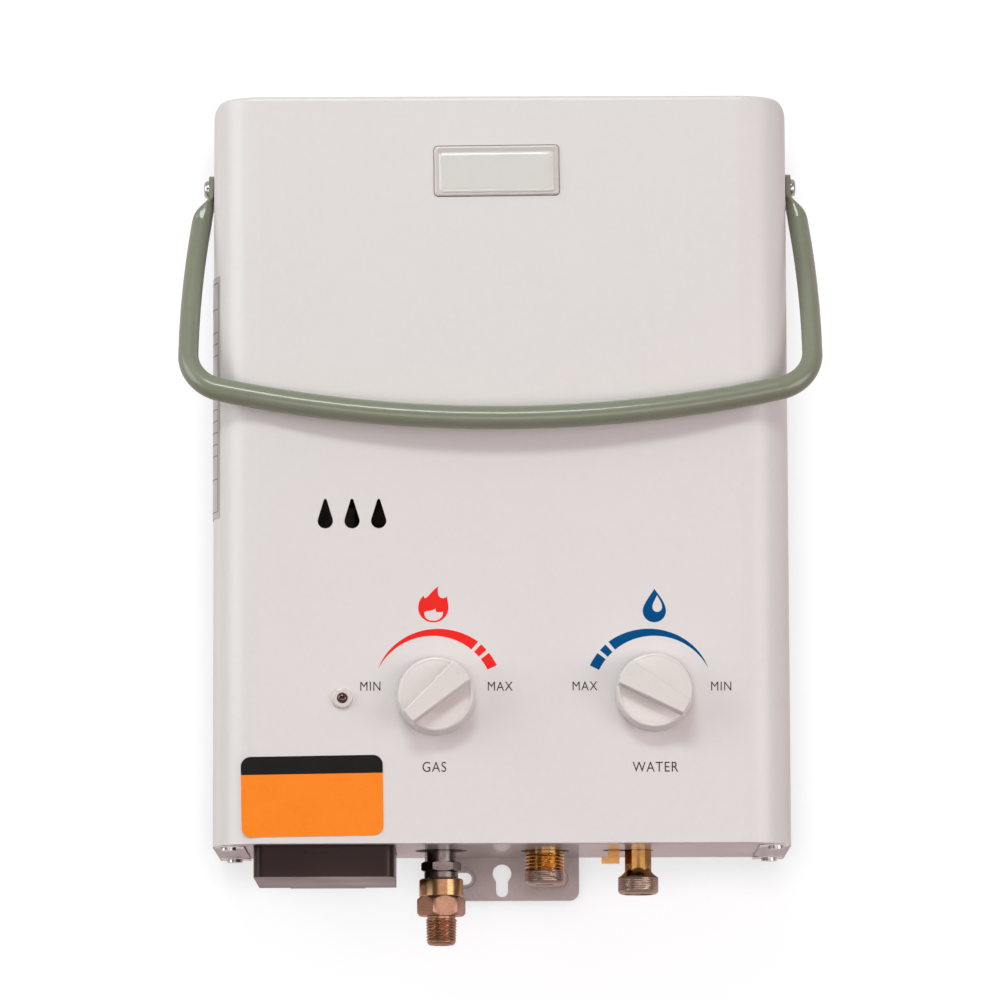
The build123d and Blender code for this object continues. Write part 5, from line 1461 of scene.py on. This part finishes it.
# ---------------------------------------------------------------- stage, lights and camera
@dataclass
class Studio:
    """Pale wall and floor, soft lights and the camera, in metres."""

    wall_y: float = 0.004
    floor_z: float = -0.62
    size: float = 8.0
    # Reach of the painted contact shadow on the paper, in metres.
    contact: float = 0.022
    floor_bounce: float = 0.12
    floor_mirror: Point3 = (0.42, 0.4, 0.4)
    wall_mirror: Point3 = (0.82, 0.64, 0.65)
    paper: Point3 = (0.27, 0.272, 0.28)
    paper_glow: Point2 = (0.58, 0.83)
    sky_high: float = 0.55
    sky_low: float = 0.14
    camera_place: Point3 = (-0.00058, -3.115, -0.234)
    camera_pitch: float = 6.80
    camera_roll: float = -0.19
    lens: float = 214.0
    sensor: float = 36.0
    shift_y: float = 0.1
    light_target: Point3 = (0.0, -0.06, 0.18)
    lights: list[tuple[str, Point3, Point2, float, str]] = field(default_factory=lambda: [
        ("top_softbox", (-0.3, -2.0, 1.72), (1.0, 0.4), 20.2, "#F3FFFA"),
        ("left_softbox", (-2.2, -1.1, 0.7), (1.5, 2.0), 27.5, "#FBFFFC"),
        ("right_softbox", (1.85, -1.65, -0.05), (1.5, 1.5), 23.5, "#FFF9F8"),
        ("rear_softbox", (0.6, 2.2, 1.2), (1.4, 1.4), 26.0, "#FFFFFF"),
        ("rear_side_softbox", (-1.8, 1.6, 0.3), (1.2, 1.6), 12.0, "#FFFFFF"),
        ("low_fill", (0.15, -1.9, -0.25), (1.6, 0.8), 8.6, "#FFE8EA"),
    ])

    def backdrop(self, is_floor: bool) -> bpy.types.Material:
        """Matt white paper: it keeps soft shadows, gets a painted contact shadow near the heater,
        and its lit part reads as plain white.

        Args:
            is_floor: True for the floor, which throws light back; the wall lets it pass.

        Returns:
            The material.
        """
        made = bpy.data.materials.new("paper_matt_floor" if is_floor else "paper_matt_wall")
        tree = fresh_tree(made)
        path = put(tree, "ShaderNodeLightPath")
        sharp = put(tree, "ShaderNodeMath", {0: path.outputs["Is Glossy Ray"],
                                             1: path.outputs["Is Transmission Ray"]},
                    operation="MAXIMUM")
        seen = put(tree, "ShaderNodeMath", {0: path.outputs["Is Camera Ray"], 1: sharp.outputs[0]},
                   operation="MAXIMUM")
        # Painted contact shadow: an occlusion pattern darkens the paper's colour and its glow near
        # the heater.
        close = put(tree, "ShaderNodeAmbientOcclusion",
                    {"Color": (*self.paper, 1), "Distance": self.contact}, samples=4)
        half_lit = put(tree, "ShaderNodeBsdfDiffuse", {"Color": close.outputs["Color"]})
        lifted = put(tree, "ShaderNodeMapRange", {
            "Value": close.outputs["AO"], "To Min": self.paper_glow[0],
            "To Max": self.paper_glow[1]})
        glow = put(tree, "ShaderNodeEmission",
                   {"Color": (1, 1, 1, 1), "Strength": lifted.outputs[0]})
        shown = put(tree, "ShaderNodeAddShader", {0: half_lit.outputs[0], 1: glow.outputs[0]})
        bounce = put(tree, "ShaderNodeBsdfDiffuse", {"Color": (*[self.floor_bounce] * 3, 1)})
        clear = put(tree, "ShaderNodeBsdfTransparent")
        hidden = bounce if is_floor else clear
        white = put(tree, "ShaderNodeMixShader",
                    {0: seen.outputs[0], 1: hidden.outputs[0], 2: shown.outputs[0]})
        tint = self.floor_mirror if is_floor else self.wall_mirror
        mirrored = put(tree, "ShaderNodeEmission", {"Color": (*tint, 1)})
        facing = put(tree, "ShaderNodeMixShader",
                     {0: path.outputs["Is Glossy Ray"], 1: white.outputs[0],
                      2: mirrored.outputs[0]})
        behind = put(tree, "ShaderNodeNewGeometry").outputs["Backfacing"]
        both = put(tree, "ShaderNodeMixShader",
                   {0: behind, 1: facing.outputs[0], 2: clear.outputs[0]})
        put(tree, "ShaderNodeOutputMaterial", {"Surface": both.outputs[0]})
        return made

    def planes(self) -> None:
        """Sets the wall and the floor."""
        half, rear = self.size / 2, self.wall_y
        front, low = rear - self.size, self.floor_z
        wall = [(x, rear, z) for x, z in ((-half, low), (half, low), (half, half), (-half, half))]
        floor = [(x, y, low)
                 for x, y in ((-half, front), (half, front), (half, rear), (-half, rear))]
        for name, corners in (("wall", wall), ("floor", floor)):
            mesh = bpy.data.meshes.new(name)
            mesh.from_pydata(corners, [], [(0, 1, 2, 3)])
            mesh.materials.append(self.backdrop(name == "floor"))
            add_object(name, mesh)
            log.info("stage %s", name)

    def sky(self) -> None:
        """Sets a white world that lights more from above; the camera sees it as plain white."""
        world = bpy.data.worlds.new("studio")
        tree = fresh_tree(world)
        path = put(tree, "ShaderNodeLightPath")
        seen = put(tree, "ShaderNodeMath", {0: path.outputs["Is Camera Ray"],
                                            1: path.outputs["Is Transmission Ray"]},
                   operation="MAXIMUM")
        way = put(tree, "ShaderNodeSeparateXYZ",
                  {"Vector": put(tree, "ShaderNodeTexCoord").outputs["Generated"]})
        height = put(tree, "ShaderNodeMapRange",
                     {"Value": way.outputs["Z"], "From Min": 0.0, "From Max": 1.0,
                      "To Min": self.sky_low, "To Max": self.sky_high})
        strength = put(tree, "ShaderNodeMix",
                       {"Factor": seen.outputs[0], 2: height.outputs[0], 3: 1.0})
        light = put(tree, "ShaderNodeBackground",
                    {"Color": (1, 1, 1, 1), "Strength": strength.outputs[0]})
        put(tree, "ShaderNodeOutputWorld", {"Surface": light.outputs[0]})
        bpy.context.scene.world = world

    def softboxes(self) -> None:
        """Hangs the lights and turns them to the heater."""
        for name, place, (width, tall), power, tint in self.lights:
            lamp = bpy.data.lights.new(name, "AREA")
            lamp.shape = "RECTANGLE"
            lamp.size, lamp.size_y = width, tall
            lamp.energy = power
            lamp.color = linear(tint)[:3]
            holder = add_object(name, lamp)
            holder.location = place
            way = Vector(self.light_target) - Vector(place)
            holder.rotation_euler = way.to_track_quat("-Z", "Y").to_euler()
            log.info("light %s, %.0f W", name, power)

    def build(self) -> None:
        """Sets the stage, the lights and the camera."""
        self.planes()
        self.sky()
        self.softboxes()
        lens = bpy.data.cameras.new("camera")
        lens.lens, lens.sensor_width, lens.shift_y = self.lens, self.sensor, self.shift_y
        camera = add_object("camera", lens)
        camera.matrix_world = (Matrix.Translation(self.camera_place)
                               @ Matrix.Rotation(radians(90 + self.camera_pitch), 4, "X")
                               @ Matrix.Rotation(radians(self.camera_roll), 4, "Z"))
        bpy.context.scene.camera = camera
        bpy.context.scene.view_settings.view_transform = "Standard"


def dress_frame() -> None:
    """Gives every node of the frame the finish of its slot."""
    for part in frame["record"]["subparts"]:
        node = frame["nodes"][part["node"]]
        finish = NODE_FINISHES.get(part["node"], SLOT_FINISHES[part["material_slot"]])
        if not node.material_slots:
            node.data.materials.append(finish.material())
        for held in node.material_slots:
            held.material = finish.material()
        log.info("node %s, %s", part["node"], finish.name)


def main() -> None:
    """Builds the stage and every piece in order."""
    logging.basicConfig(level=logging.INFO, format="%(name)s: %(message)s")
    Studio().build()
    dress_frame()
    groups: tuple[Callable[[], list[bpy.types.Object]], ...] = (
        ControlPanel().build,
        Knob("gas_knob", "gas_control", (-33.2, 74.7), 41.0).build,
        Knob("water_knob", "water_control", (77.6, 76.3), 150.0).build,
        Badge().build, FrontSticker().build, SideLabel().build, Connections().build,
        HangingTab().build, CornerClips().build, ValveSpring().build,
    )
    total = sum(len(build()) for build in groups)
    log.info("%d pieces", total)


if __name__ == "__main__":
    main()
